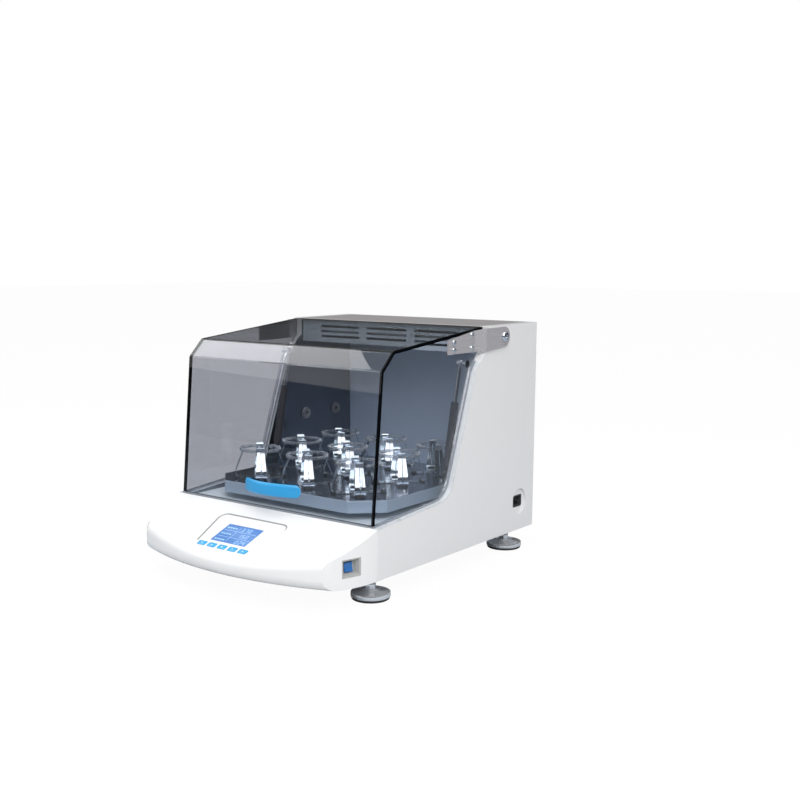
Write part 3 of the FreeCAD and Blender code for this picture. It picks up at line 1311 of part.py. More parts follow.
def air_system():
    """Heater and fan in the duct above the chamber."""
    heater = new_body("heater_coil")
    spine = sketch(heater, "XY", S.heater_rise)
    left = -(INNER - S.liner_sheet)
    half = S.heater_half
    front = S.heater_front
    pitch = S.heater_pitch
    start = spine.addGeometry(Part.LineSegment(vector((left, front)), vector((half, front))), False)
    centre = FreeCAD.Vector(half.value, front.value + pitch.value / 2, 0)
    bend = spine.addGeometry(Part.ArcOfCircle(
        Part.Circle(centre, FreeCAD.Vector(0, 0, 1), pitch.value / 2), -math.pi / 2, math.pi / 2), False)
    back = front + pitch
    finish = spine.addGeometry(Part.LineSegment(vector((half, back)), vector((left, back))), False)
    rules = [(Sketcher.Constraint("Tangent", start, 2, bend, 1), None),
             (Sketcher.Constraint("Tangent", bend, 2, finish, 1), None)]
    fix_point(spine, start, 1, (left, front), rules)
    fix_point(spine, start, 2, (half, front), rules)
    fix_point(spine, finish, 2, (left, back), rules)
    apply_rules(spine, rules)
    section = sketch(heater, "YZ", left)
    circle(section, front, S.heater_rise, S.heater_tube)
    tube = heater.newObject("PartDesign::AdditivePipe", "Tube")
    tube.Profile = section
    tube.Spine = (spine, ["Edge1", "Edge2", "Edge3"])
    heater.Tip = tube
    keep("heater_coil", heater)

    ceiling = S.case_top - S.skin
    body, step = S.fan_radius * 0.7, S.fan_motor_high / 4
    keep("fan_motor", turned("fan_motor", [
        (ZERO, -S.fan_motor_high), (body - step, -S.fan_motor_high), (body, step - S.fan_motor_high),
        (body, ZERO), (ZERO, ZERO)], ZERO, S.fan_back, ceiling))
    wheel_top = ceiling - S.fan_motor_high - S.sheet_gap
    rim, hub, disc = S.fan_radius, S.fan_radius / 7, -S.fan_high / 7
    wheel = turned("fan_wheel", [
        (ZERO, disc), (rim, disc), (rim, disc / 2), (hub, disc / 2), (hub, ZERO), (ZERO, ZERO)],
        ZERO, S.fan_back, wheel_top)
    blade = sketch(wheel, "XY", -S.fan_high)
    root_end, thin = rim * 0.6, rim * 0.022
    outline(blade, [(root_end, -thin), (rim * 0.97, rim * 0.11), (rim * 0.96, rim * 0.15),
                    (root_end - thin, thin)])
    vane = pad(wheel, blade, S.fan_high + disc * 2 / 3)
    spread = wheel.newObject("PartDesign::PolarPattern", "Vanes")
    spread.Originals = [vane]
    spread.Axis = (blade, ["N_Axis"])
    spread.Occurrences = VANES
    spread.Angle = 360
    wheel.Tip = spread
    keep("fan_wheel", wheel)

    high = S.port_proud
    port = turned("port_master", [(S.port_bore, ZERO), (S.port_radius, ZERO),
                                  (S.port_radius - high / 3, high), (S.port_bore, high)])
    wall = -(INNER - S.liner_sheet)
    keep("sensor_ports", repeat("sensor_ports", port, [
        (wall, y, S.port_rise, (0, 1, 0), 90) for y in (S.port_front, S.port_rear)]))


def electrics():
    """Mains inlet in the right wall, and the power supply on the base."""
    face = S.case_half - S.inlet_recess_deep
    inlet = new_body("mains_inlet")
    drawing = sketch(inlet, "YZ", face - S.inlet_body)
    half_wide, half_high = S.inlet_wide / 2, S.inlet_high / 2
    y, z = S.inlet_back, -S.inlet_drop
    rounded(drawing, y - half_wide, z - half_high, y + half_wide, z + half_high, S.inlet_round)
    pad(inlet, drawing, S.inlet_body)
    well = sketch(inlet, "YZ", face)
    half_wide, half_high = half_wide - S.inlet_wall, half_high - S.inlet_wall
    rounded(well, y - half_wide, z - half_high, y + half_wide, z + half_high, S.inlet_wall)
    pocket(inlet, well, S.inlet_body - S.inlet_floor, back=True)
    beside, thin = S.inlet_wide / 4, S.inlet_wall / 2
    for across, up in ((-beside, -thin), (beside, -thin), (ZERO, thin * 3)):
        blade = sketch(inlet, "YZ", face - S.inlet_body)
        rectangle(blade, y + across - thin, z + up - thin * 2, y + across + thin, z + up + thin * 2)
        pad(inlet, blade, S.inlet_body - S.inlet_wall * 2)
    keep("mains_inlet", inlet)

    supply = new_body("power_supply", -S.supply_side, S.supply_back, PAN_TOP)
    drawing = sketch(supply, "XY")
    rectangle(drawing, -S.supply_wide / 2, -S.supply_deep / 2, S.supply_wide / 2, S.supply_deep / 2)
    pad(supply, drawing, S.supply_high)
    keep("power_supply", supply)


def feet():
    """Four levelling feet: rubber-soled dish, hexagon and threaded stem."""
    sole = -S.foot_drop
    rubber = sole + S.foot_rubber
    dish = rubber + S.foot_dish
    rim, brim, lip = S.foot_radius, rubber + S.foot_rim, S.foot_rubber / 8
    top = S.foot_boss_high * 9 / 8 - S.case_drop
    names = {"foot_front_left": (-1, S.foot_front), "foot_front_right": (1, S.foot_front),
             "foot_rear_left": (-1, S.foot_rear), "foot_rear_right": (1, S.foot_rear)}
    for name, (side, y) in names.items():
        foot = turned(name, [
            (ZERO, sole), (rim - lip * 3, sole), (rim - lip, rubber - lip), (rim - lip, rubber),
            (rim, rubber), (rim, brim), (rim - lip * 2, brim + lip), (S.foot_stem * 2, dish),
            (S.foot_stem, dish), (S.foot_stem, top), (ZERO, top)], S.foot_side * side, y)
        flats = sketch(foot, "XY", dish + S.foot_boss_high / 8)
        points = [(S.foot_hex * math.cos(math.radians(60 * turn)),
                   S.foot_hex * math.sin(math.radians(60 * turn))) for turn in range(6)]
        outline(flats, points)
        pad(foot, flats, S.foot_hex_high)
        keep(name, foot)


def check_and_export():
    """Refuse a failed object or an invalid shape, then write one file a node."""
    DOC.recompute()
    failed = [thing.Label for thing in DOC.Objects
              if any(word in thing.State for word in ("Invalid", "Error"))]
    if failed:
        raise RuntimeError("failed: " + ", ".join(failed))
    os.makedirs("parts", exist_ok=True)
    for name, thing in NODES.items():
        shape = thing.Shape
        if shape.isNull() or not shape.isValid() or not shape.Solids:
            raise RuntimeError("%s: null %s, valid %s, %d solids" % (
                name, shape.isNull(), shape.isValid(), len(shape.Solids)))
        shape.exportStep("parts/%s.step" % name)
        box = shape.optimalBoundingBox(False, False)
        print("%-20s %2d solids  %10.0f mm3  x %.1f..%.1f  y %.1f..%.1f  z %.1f..%.1f" % (
            name, len(shape.Solids), shape.Volume, box.XMin, box.XMax, box.YMin, box.YMax,
            box.ZMin, box.ZMax))
    print(len(NODES), "nodes")


side_covers()
console()
control_panel()
power_switch()
base_and_back()
chamber()
struts(lid())
drive()
platform()
air_system()
electrics()
feet()
check_and_export()
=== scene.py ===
import logging
import math
from collections.abc import Callable, Iterable
from dataclasses import dataclass
from enum import Enum

import bmesh
import bpy
from mathutils import Matrix, Vector


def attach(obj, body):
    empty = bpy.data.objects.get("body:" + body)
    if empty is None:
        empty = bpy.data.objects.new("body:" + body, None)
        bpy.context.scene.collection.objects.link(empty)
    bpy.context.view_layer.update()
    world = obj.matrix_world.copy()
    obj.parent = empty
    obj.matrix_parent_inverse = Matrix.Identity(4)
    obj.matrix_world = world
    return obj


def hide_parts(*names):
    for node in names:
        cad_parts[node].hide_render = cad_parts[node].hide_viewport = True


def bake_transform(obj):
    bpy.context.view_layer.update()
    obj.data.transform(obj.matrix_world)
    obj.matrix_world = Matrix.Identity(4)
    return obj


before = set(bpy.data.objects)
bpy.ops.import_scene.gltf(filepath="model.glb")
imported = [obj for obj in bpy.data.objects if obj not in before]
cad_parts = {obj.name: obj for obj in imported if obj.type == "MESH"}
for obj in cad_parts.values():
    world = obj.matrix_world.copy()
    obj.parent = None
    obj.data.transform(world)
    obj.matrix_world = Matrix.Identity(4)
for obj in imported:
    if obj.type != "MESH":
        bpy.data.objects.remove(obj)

LOG = logging.getLogger("shaking_incubator")

# The datum of the construction: the lower front edge of the lid, midway across.
DATUM = Vector((0.0, -0.1625, 0.113))
CASING = "cabinet"
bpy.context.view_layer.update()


def from_datum(across: float, back: float, up: float) -> Vector:
    """Turn millimetres from the construction's datum into the frame's metres."""
    return DATUM + Vector((across, back, up)) / 1000.0


def tilted(degrees: float) -> Matrix:
    """Frame of a surface that passes through the datum, turned about X."""
    return Matrix.Translation(DATUM) @ Matrix.Rotation(math.radians(degrees), 4, "X")


def in_metres(profile: Iterable[tuple[float, float]]) -> list[tuple[float, float]]:
    """Turn the points of a profile from millimetres into metres."""
    return [(across / 1000.0, up / 1000.0) for across, up in profile]


def on_circle(radius: float, turn: float, height: float = 0.0) -> Vector:
    """Point at a radius and a turn about the Z axis."""
    return Vector((radius * math.cos(turn), radius * math.sin(turn), height))


DECK = tilted(21.06)
LID_FRONT = tilted(-math.degrees(math.atan2(22.2, 232.6)))


# Finishes


class Bench:
    """A shader tree while it is being put together."""

    def __init__(self, tree: bpy.types.NodeTree) -> None:
        """Empty the tree.

        Args:
            tree: The tree of a material or a world.
        """
        self.tree = tree
        self.tree.nodes.clear()

    def add(self, kind: str, settings: dict | None = None, **sockets: object) -> bpy.types.Node:
        """Add a node.

        Args:
            kind: Blender's name of the node type.
            settings: Properties of the node.
            sockets: Values or output sockets, by input name with _ for a space.

        Returns:
            The new node.
        """
        node = self.tree.nodes.new(kind)
        for key, value in (settings or {}).items():
            setattr(node, key, value)
        for key, value in sockets.items():
            self.feed(node.inputs[key.replace("_", " ")], value)
        return node

    def link(self, source: bpy.types.NodeSocket, target: bpy.types.NodeSocket) -> None:
        """Join an output to an input."""
        self.tree.links.new(source, target)

    def feed(self, socket: bpy.types.NodeSocket, value: object) -> None:
        """Give an input a value or an output socket.

        Args:
            socket: The input.
            value: A plain value, or the output that it is joined to.
        """
        if isinstance(value, bpy.types.NodeSocket):
            self.link(value, socket)
        else:
            socket.default_value = value

    def sum(self, operation: str, first: object, second: object = 0.0) -> bpy.types.NodeSocket:
        """One step of arithmetic.

        Args:
            operation: Blender's name of the step.
            first: A number or an output socket.
            second: A number or an output socket.

        Returns:
            The socket with the result.
        """
        node = self.add("ShaderNodeMath", {"operation": operation})
        self.feed(node.inputs[0], first)
        self.feed(node.inputs[1], second)
        return node.outputs[0]

    def mirrored(self) -> bpy.types.NodeSocket:
        """1 for what is seen in a reflection."""
        path = self.add("ShaderNodeLightPath")
        return self.sum("GREATER_THAN", path.outputs["Glossy Depth"], 0.5)

    def mixed(self, factor: object, first: bpy.types.Node, second: bpy.types.Node) -> bpy.types.Node:
        """Mix two shaders.

        Args:
            factor: Share of the second one.
            first: Node of the first shader.
            second: Node of the second shader.

        Returns:
            The mixing node.
        """
        node = self.add("ShaderNodeMixShader", Fac=factor)
        self.link(first.outputs[0], node.inputs[1])
        self.link(second.outputs[0], node.inputs[2])
        return node

    def in_sight(self) -> bpy.types.NodeSocket:
        """Tell what the camera sees, straight on or through the clear lid, from any reflection.

        Returns:
            The socket, 1 for what is in sight and 0 for the rest.
        """
        path = self.add("ShaderNodeLightPath")
        turned = self.sum("ADD", path.outputs["Glossy Depth"], path.outputs["Diffuse Depth"])
        straight = self.sum("LESS_THAN", turned, 0.5)
        through = self.sum("MULTIPLY", path.outputs["Is Transmission Ray"], straight)
        return self.sum("MAXIMUM", path.outputs["Is Camera Ray"], through)


class Recipe(Bench):
    """A node material while it is being put together."""

    def __init__(self, name: str) -> None:
        """Start an empty material.

        Args:
            name: Name of the material.
        """
        self.material = bpy.data.materials.new(name)
        self.material.use_nodes = True
        super().__init__(self.material.node_tree)
        self.output = self.add("ShaderNodeOutputMaterial")
        self.shader = self.add("ShaderNodeBsdfPrincipled")
        self.link(self.shader.outputs[0], self.output.inputs["Surface"])

    def surface(self, **sockets: object) -> None:
        """Set inputs of the surface shader."""
        for key, value in sockets.items():
            self.feed(self.shader.inputs[key.replace("_", " ")], value)

    def place(self, stretch: tuple[float, float, float] = (1.0, 1.0, 1.0)) -> bpy.types.NodeSocket:
        """Give a pattern its place.

        Args:
            stretch: Scale along each axis.

        Returns:
            The socket with the object coordinates.
        """
        spot = self.add("ShaderNodeTexCoord")
        mapping = self.add("ShaderNodeMapping", Vector=spot.outputs["Object"], Scale=stretch)
        return mapping.outputs[0]

    def grain(self, scale: float, detail: float = 3.0, rough: float = 0.5,
              stretch: tuple[float, float, float] = (1.0, 1.0, 1.0)) -> bpy.types.NodeSocket:
        """Noise from 0 to 1.

        Args:
            scale: Waves in a metre.
            detail: Number of finer layers.
            rough: Strength of the finer layers.
            stretch: Scale along each axis.

        Returns:
            The noise's factor.
        """
        made = self.add("ShaderNodeTexNoise", Vector=self.place(stretch), Scale=scale,
                        Detail=detail, Roughness=rough)
        return made.outputs["Fac"]

    def span(self, factor: bpy.types.NodeSocket, low: float, high: float,
             start: float = 0.3, stop: float = 0.7) -> bpy.types.NodeSocket:
        """Spread a factor between two numbers.

        Args:
            factor: The socket that is read.
            low: Result at start.
            high: Result at stop.
            start: Factor that gives low.
            stop: Factor that gives high.

        Returns:
            The socket with the result.
        """
        node = self.add("ShaderNodeMapRange", Value=factor, From_Min=start, From_Max=stop,
                        To_Min=low, To_Max=high)
        return node.outputs[0]

    def blend(self, factor: bpy.types.NodeSocket, first: tuple[float, ...],
              second: tuple[float, ...]) -> bpy.types.NodeSocket:
        """Mix two colours.

        Args:
            factor: Share of the second one.
            first: Colour in linear light.
            second: Colour in linear light.

        Returns:
            The socket with the colour.
        """
        node = self.add("ShaderNodeMix", {"data_type": "RGBA"})
        self.link(factor, node.inputs[0])
        node.inputs[6].default_value = (*first, 1.0)
        node.inputs[7].default_value = (*second, 1.0)
        return node.outputs[2]

    def bump(self, height: bpy.types.NodeSocket, depth: float, strength: float) -> None:
        """Relief on the surface, depth in metres."""
        node = self.add("ShaderNodeBump", Strength=strength, Distance=depth, Height=height)
        self.surface(Normal=node.outputs[0])


def shade(colour: tuple[float, float, float], factor: float) -> tuple[float, float, float]:
    """A colour made lighter or darker by a factor."""
    return tuple(min(1.0, part * factor) for part in colour)


@dataclass(frozen=True)
class Finish:
    """What every finish has: a name and a colour in linear light."""

    name: str
    colour: tuple[float, float, float]

    def made(self) -> bpy.types.Material:
        """The material, made once."""
        found = bpy.data.materials.get(self.name)
        return found or self.recipe().material

    def recipe(self) -> Recipe:
        """Put the node material together.

        Returns:
            The recipe with its material.
        """
        raise NotImplementedError


@dataclass(frozen=True)
class GlossPaint(Finish):
    """Stoved paint on sheet metal or a moulded cover, with a faint orange peel."""

    roughness: float = 0.3
    coat: float = 0.4
    peel: float = 260.0

    def recipe(self) -> Recipe:
        """Put the node material together.

        Returns:
            The recipe with its material.
        """
        made = Recipe(self.name)
        cloud = made.grain(7.0, detail=1.0)
        made.surface(Base_Color=made.blend(cloud, shade(self.colour, 0.985), self.colour),
                     Roughness=made.span(cloud, self.roughness - 0.01, self.roughness + 0.01),
                     Coat_Weight=self.coat, Coat_Roughness=0.08, Coat_IOR=1.45)
        made.bump(made.grain(self.peel, detail=0.0), depth=0.000001, strength=0.1)
        return made


@dataclass(frozen=True)
class Moulded(Finish):
    """Injection-moulded plastic with a fine spark-eroded grain."""

    roughness: float = 0.42
    texture: float = 900.0
    depth: float = 0.00002
    coat: float = 0.0

    def recipe(self) -> Recipe:
        """Put the node material together.

        Returns:
            The recipe with its material.
        """
        made = Recipe(self.name)
        cloud = made.grain(24.0, detail=3.0)
        flow = made.grain(90.0, detail=3.0)
        made.surface(Base_Color=made.blend(cloud, shade(self.colour, 0.93), shade(self.colour, 1.04)),
                     Roughness=made.span(flow, self.roughness - 0.06, self.roughness + 0.08),
                     Coat_Weight=self.coat, Coat_Roughness=0.1)
        made.bump(made.grain(self.texture, detail=2.0), depth=self.depth, strength=0.45)
        return made


@dataclass(frozen=True)
class Rubber(Finish):
    """Black rubber with a dusty, matt skin."""

    roughness: float = 0.72

    def recipe(self) -> Recipe:
        """Put the node material together.

        Returns:
            The recipe with its material.
        """
        made = Recipe(self.name)
        dust = made.grain(120.0, detail=5.0, rough=0.65)
        made.surface(Base_Color=made.blend(dust, self.colour, shade(self.colour, 1.9)),
                     Roughness=made.span(dust, self.roughness - 0.08, self.roughness + 0.12))
        made.bump(made.grain(2200.0, detail=2.0), depth=0.00006, strength=0.5)
        return made


class Lay(Enum):
    """Direction of the brush marks, as the scale of the noise on each axis."""

    ACROSS = (0.012, 1.0, 1.0)
    UPRIGHT = (1.0, 1.0, 0.012)
    BACKWARD = (1.0, 0.012, 1.0)
    ROUND = (1.0, 1.0, 1.0)


@dataclass(frozen=True)
class Steel(Finish):
    """Metal with brush or turning marks."""

    roughness: float = 0.25
    lay: Lay = Lay.ACROSS
    marks: float = 0.1
    scale: float = 420.0
    depth: float = 0.000003
    metal: float = 1.0

    def recipe(self) -> Recipe:
        """Put the node material together.

        Returns:
            The recipe with its material.
        """
        made = Recipe(self.name)
        lines = made.grain(self.scale, stretch=self.lay.value)
        stain = made.grain(9.0, detail=2.0)
        tone = made.blend(stain, shade(self.colour, 0.95), shade(self.colour, 1.03))
        made.surface(Base_Color=tone, Metallic=self.metal,
                     Roughness=made.span(lines, self.roughness - self.marks / 2, self.roughness + self.marks))
        if self.depth:
            made.bump(lines, depth=self.depth, strength=0.25)
        return made


@dataclass(frozen=True)
class Cast(Finish):
    """Cast metal with a sandy skin."""

    roughness: float = 0.55

    def recipe(self) -> Recipe:
        """Put the node material together.

        Returns:
            The recipe with its material.
        """
        made = Recipe(self.name)
        pits = made.grain(420.0, detail=6.0, rough=0.7)
        made.surface(Base_Color=made.blend(pits, shade(self.colour, 0.7), shade(self.colour, 1.2)),
                     Metallic=0.85, Roughness=made.span(pits, self.roughness - 0.1, self.roughness + 0.15))
        made.bump(pits, depth=0.0003, strength=0.6)
        return made


@dataclass(frozen=True)
class ClearSheet(Finish):
    """Smoky clear sheet that lets the lamps through, tinted by a power of its colour."""

    lamp_power: float = 0.1

    def recipe(self) -> Recipe:
        """Put the node material together.

        Returns:
            The recipe with its material.
        """
        made = Recipe(self.name)
        haze = made.grain(9.0, detail=3.0)
        tint = made.blend(haze, shade(self.colour, 0.985), self.colour)
        made.surface(Base_Color=tint, Transmission_Weight=1.0, IOR=1.49, Roughness=0.0,
                     Specular_IOR_Level=0.5)
        tinted = tuple(part ** self.lamp_power for part in self.colour)
        open_way = made.add("ShaderNodeBsdfTransparent", Color=(*tinted, 1.0))
        path = made.add("ShaderNodeLightPath")
        both = made.mixed(path.outputs["Is Shadow Ray"], made.shader, open_way)
        made.link(both.outputs[0], made.output.inputs["Surface"])
        return made


@dataclass(frozen=True)
class CutEdge(Finish):
    """Sawn edge of the clear sheet, dark because the light has far to go."""

    def recipe(self) -> Recipe:
        """Put the node material together.

        Returns:
            The recipe with its material.
        """
        made = Recipe(self.name)
        saw = made.grain(1500.0, detail=2.0, stretch=(1.0, 0.05, 0.05))
        made.surface(Base_Color=made.blend(saw, self.colour, shade(self.colour, 1.8)),
                     Roughness=made.span(saw, 0.4, 0.6), Specular_IOR_Level=0.0)
        made.bump(saw, depth=0.00003, strength=0.4)
        return made


@dataclass(frozen=True)
class LitDisplay(Finish):
    """Blue backlit display, its glow uneven in soft clouds."""

    glow: float = 0.5

    def recipe(self) -> Recipe:
        """Put the node material together.

        Returns:
            The recipe with its material.
        """
        made = Recipe(self.name)
        cloud = made.grain(22.0, detail=1.0)
        colour = made.blend(cloud, shade(self.colour, 0.88), shade(self.colour, 1.12))
        cells = made.grain(3000.0, detail=0.0)
        made.surface(Base_Color=colour, Emission_Color=colour, Emission_Strength=self.glow,
                     Roughness=made.span(cells, 0.1, 0.22), Coat_Weight=0.6, Coat_Roughness=0.05)
        return made


@dataclass(frozen=True)
class Laminate(Finish):
    """Printed circuit board with its copper tracks under green lacquer."""

    track: tuple[float, float, float] = (0.05, 0.22, 0.09)
    cells_per_metre: float = 420.0

    def recipe(self) -> Recipe:
        """Put the node material together.

        Returns:
            The recipe with its material.
        """
        made = Recipe(self.name)
        cells = made.add("ShaderNodeTexVoronoi", {"feature": "DISTANCE_TO_EDGE"},
                         Vector=made.place(), Scale=self.cells_per_metre)
        line = made.span(cells.outputs["Distance"], 1.0, 0.0, 0.02, 0.05)
        made.surface(Base_Color=made.blend(line, self.colour, self.track), Roughness=0.3, Coat_Weight=0.3)
        made.bump(line, depth=0.00004, strength=0.5)
        return made


WHITE_CASING = GlossPaint("white_casing", (0.80, 0.80, 0.81))
WHITE_CONSOLE = GlossPaint("white_console", (0.86, 0.865, 0.875), roughness=0.26, coat=0.5)
WHITE_FILM = GlossPaint("white_film", (0.86, 0.865, 0.88), roughness=0.34, coat=0.2, peel=500.0)
GREY_TOP = GlossPaint("grey_top", (0.33, 0.315, 0.315), roughness=0.38, coat=0.2)
BLACK_PAINT = GlossPaint("black_paint", (0.018, 0.018, 0.02), roughness=0.35, coat=0.3)
PALE_TRIM = Moulded("pale_trim", (0.66, 0.69, 0.72), roughness=0.3, coat=0.3)
BEZEL_GREY = Moulded("bezel_grey", (0.46, 0.46, 0.45), roughness=0.4)
KEY_BLUE = Moulded("key_blue", (0.022, 0.38, 0.74), roughness=0.32, coat=0.35)
GRIP_BLUE = Moulded("grip_blue", (0.022, 0.33, 0.68), roughness=0.4, depth=0.00008, coat=0.15)
ROCKER_BLUE = Moulded("rocker_blue", (0.028, 0.17, 0.50), roughness=0.3, coat=0.3)
BLACK_PLASTIC = Moulded("black_plastic", (0.008, 0.008, 0.009), roughness=0.45)
PRINT_WHITE = Moulded("print_white", (0.85, 0.88, 0.9), roughness=0.5)
# Grey of the film's embossed border line: painted shade.
BORDER_SHADE_GREY = Moulded("border_shade_grey", (0.30, 0.30, 0.30), roughness=0.5)
BLACK_RUBBER = Rubber("black_rubber", (0.012, 0.012, 0.013))
GREY_SEAL = Rubber("grey_seal", (0.19, 0.21, 0.24))
PORT_GREY = Moulded("port_grey", (0.22, 0.23, 0.25), roughness=0.5)
# Lit and shaded copies of the chamber's one stainless steel: the sides and duct shelf are darker than real
# steel (painted shade), and the floor, sill and back are pale and near white (painted light).
LINER_STEEL_PAINTED_SHADE = Steel("liner_steel_painted_shade", (0.245, 0.26, 0.285), roughness=0.17, marks=0.03, scale=160.0, depth=0.0)
FLOOR_STEEL_PAINTED_LIGHT = Steel("floor_steel_painted_light", (0.86, 0.95, 1.0), roughness=0.4, marks=0.04, depth=0.0, metal=0.05)
BACK_STEEL_PAINTED_LIGHT = Steel("back_steel_painted_light", (0.62, 0.73, 0.90), roughness=0.36, marks=0.04, depth=0.0, metal=0.12)
# Lit and shaded copies of the tray's one steel: the top is dark (painted shade) and the skirt is pale blue
# (painted light).
TRAY_STEEL_PAINTED_SHADE = Steel("tray_steel_painted_shade", (0.33, 0.36, 0.42), roughness=0.15, marks=0.03, scale=200.0, depth=0.0)
SKIRT_STEEL_PAINTED_LIGHT = Steel("skirt_steel_painted_light", (0.58, 0.70, 0.84), roughness=0.36, marks=0.04, depth=0.0, metal=0.25)
FOOT_CHROME = Steel("foot_chrome", (0.9, 0.9, 0.9), roughness=0.08, lay=Lay.ROUND, marks=0.02, depth=0.0,
                    metal=0.75)
BRIGHT_STEEL = Steel("bright_steel", (0.80, 0.82, 0.84), roughness=0.07, lay=Lay.UPRIGHT, marks=0.03)
CLAMP_STEEL = Steel("clamp_steel", (0.86, 0.92, 0.95), roughness=0.09, lay=Lay.UPRIGHT, marks=0.04)
ARM_STEEL = Steel("arm_steel", (0.55, 0.53, 0.55), roughness=0.26, lay=Lay.BACKWARD, marks=0.02, depth=0.0,
                  metal=0.4)
TURNED_STEEL = Steel("turned_steel", (0.56, 0.57, 0.58), roughness=0.3, lay=Lay.ROUND, marks=0.1, scale=500.0)
ALUMINIUM = Steel("aluminium", (0.72, 0.73, 0.74), roughness=0.33, lay=Lay.ROUND, marks=0.12, scale=400.0)
GRILLE_BLUE = GlossPaint("grille_blue", (0.76, 0.90, 1.0), roughness=0.5, coat=0.0)
CAST_IRON = Cast("cast_iron", (0.12, 0.12, 0.125))
BOARD_GREEN = Laminate("board_green", (0.012, 0.10, 0.045))
SMOKY_SHEET = ClearSheet("smoky_sheet", (0.60, 0.61, 0.645))
# Lighter tint for the flat top of the same bent sheet: painted light for what is seen through it.
SMOKY_TOP_PAINTED_LIGHT = ClearSheet("smoky_top_painted_light", (0.68, 0.70, 0.73))
SHEET_EDGE = CutEdge("sheet_edge", (0.002, 0.0022, 0.003))
DISPLAY_BLUE = LitDisplay("display_blue", (0.060, 0.19, 0.50), glow=0.2)
SEGMENT_WHITE = LitDisplay("segment_white", (0.34, 0.55, 0.82), glow=0.35)

CARRIED_OVER: dict[Finish, tuple[str, ...]] = {
    WHITE_CASING: ("side_cover_left", "side_cover_right", "base_pan", "back_panel"),
    WHITE_CONSOLE: ("console_cover",),
    WHITE_FILM: ("control_overlay",),
    GREY_TOP: ("top_cover",),
    DISPLAY_BLUE: ("display_module",),
    BOARD_GREEN: ("control_board",),
    KEY_BLUE: ("key_1", "key_2", "key_3", "key_4", "key_5"),
    BEZEL_GREY: ("switch_bezel",),
    ROCKER_BLUE: ("power_rocker",),
    LINER_STEEL_PAINTED_SHADE: ("chamber_liner", "duct_shelf"),
    GRILLE_BLUE: ("grille_panel",),
    PALE_TRIM: ("edge_trims",),
    BLACK_RUBBER: ("drive_belt",),
    GREY_SEAL: ("lid_gasket",),
    PORT_GREY: ("sensor_ports",),
    SMOKY_SHEET: ("lid_sheet", "lid_sides"),
    GRIP_BLUE: ("lid_handle",),
    ARM_STEEL: ("hinge_arm_left", "hinge_arm_right"),
    BRIGHT_STEEL: ("lid_fasteners", "cabinet_pivots", "strut_rod_left", "strut_rod_right", "platform_screws",
                   "heater_coil", "foot_front_left", "foot_front_right", "foot_rear_left", "foot_rear_right",
                   "clamp_springs"),
    CLAMP_STEEL: ("flask_clamps_front", "flask_clamps_middle", "flask_clamps_rear"),
    BLACK_PAINT: ("strut_tube_left", "strut_tube_right", "motor", "fan_motor"),
    CAST_IRON: ("drive_frame", "counterweight"),
    TURNED_STEEL: ("ball_bearings", "crankshaft", "idler_crank_left", "idler_crank_right", "idler_crank_rear",
                   "power_supply"),
    ALUMINIUM: ("drive_pulley", "motor_pulley", "platform_carrier"),
    TRAY_STEEL_PAINTED_SHADE: ("platform_tray",),
    BLACK_PLASTIC: ("mains_inlet", "fan_wheel"),
}


def dress_carried_over() -> None:
    """Give every CAD node its finish."""
    for finish, names in CARRIED_OVER.items():
        material = finish.made()
        for name in names:
            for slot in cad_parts[name].material_slots:
                slot.material = material
    LOG.info("finishes on %d nodes", sum(len(names) for names in CARRIED_OVER.values()))


# Mesh work

# Signs of the left and the right side.
SIDES = (-1, 1)
# Segments round a spring's wire, in one turn of a thread and round its ridge.
WIRE_SIDES = 5
THREAD_STEPS = 20
RIDGE_SIDES = 4


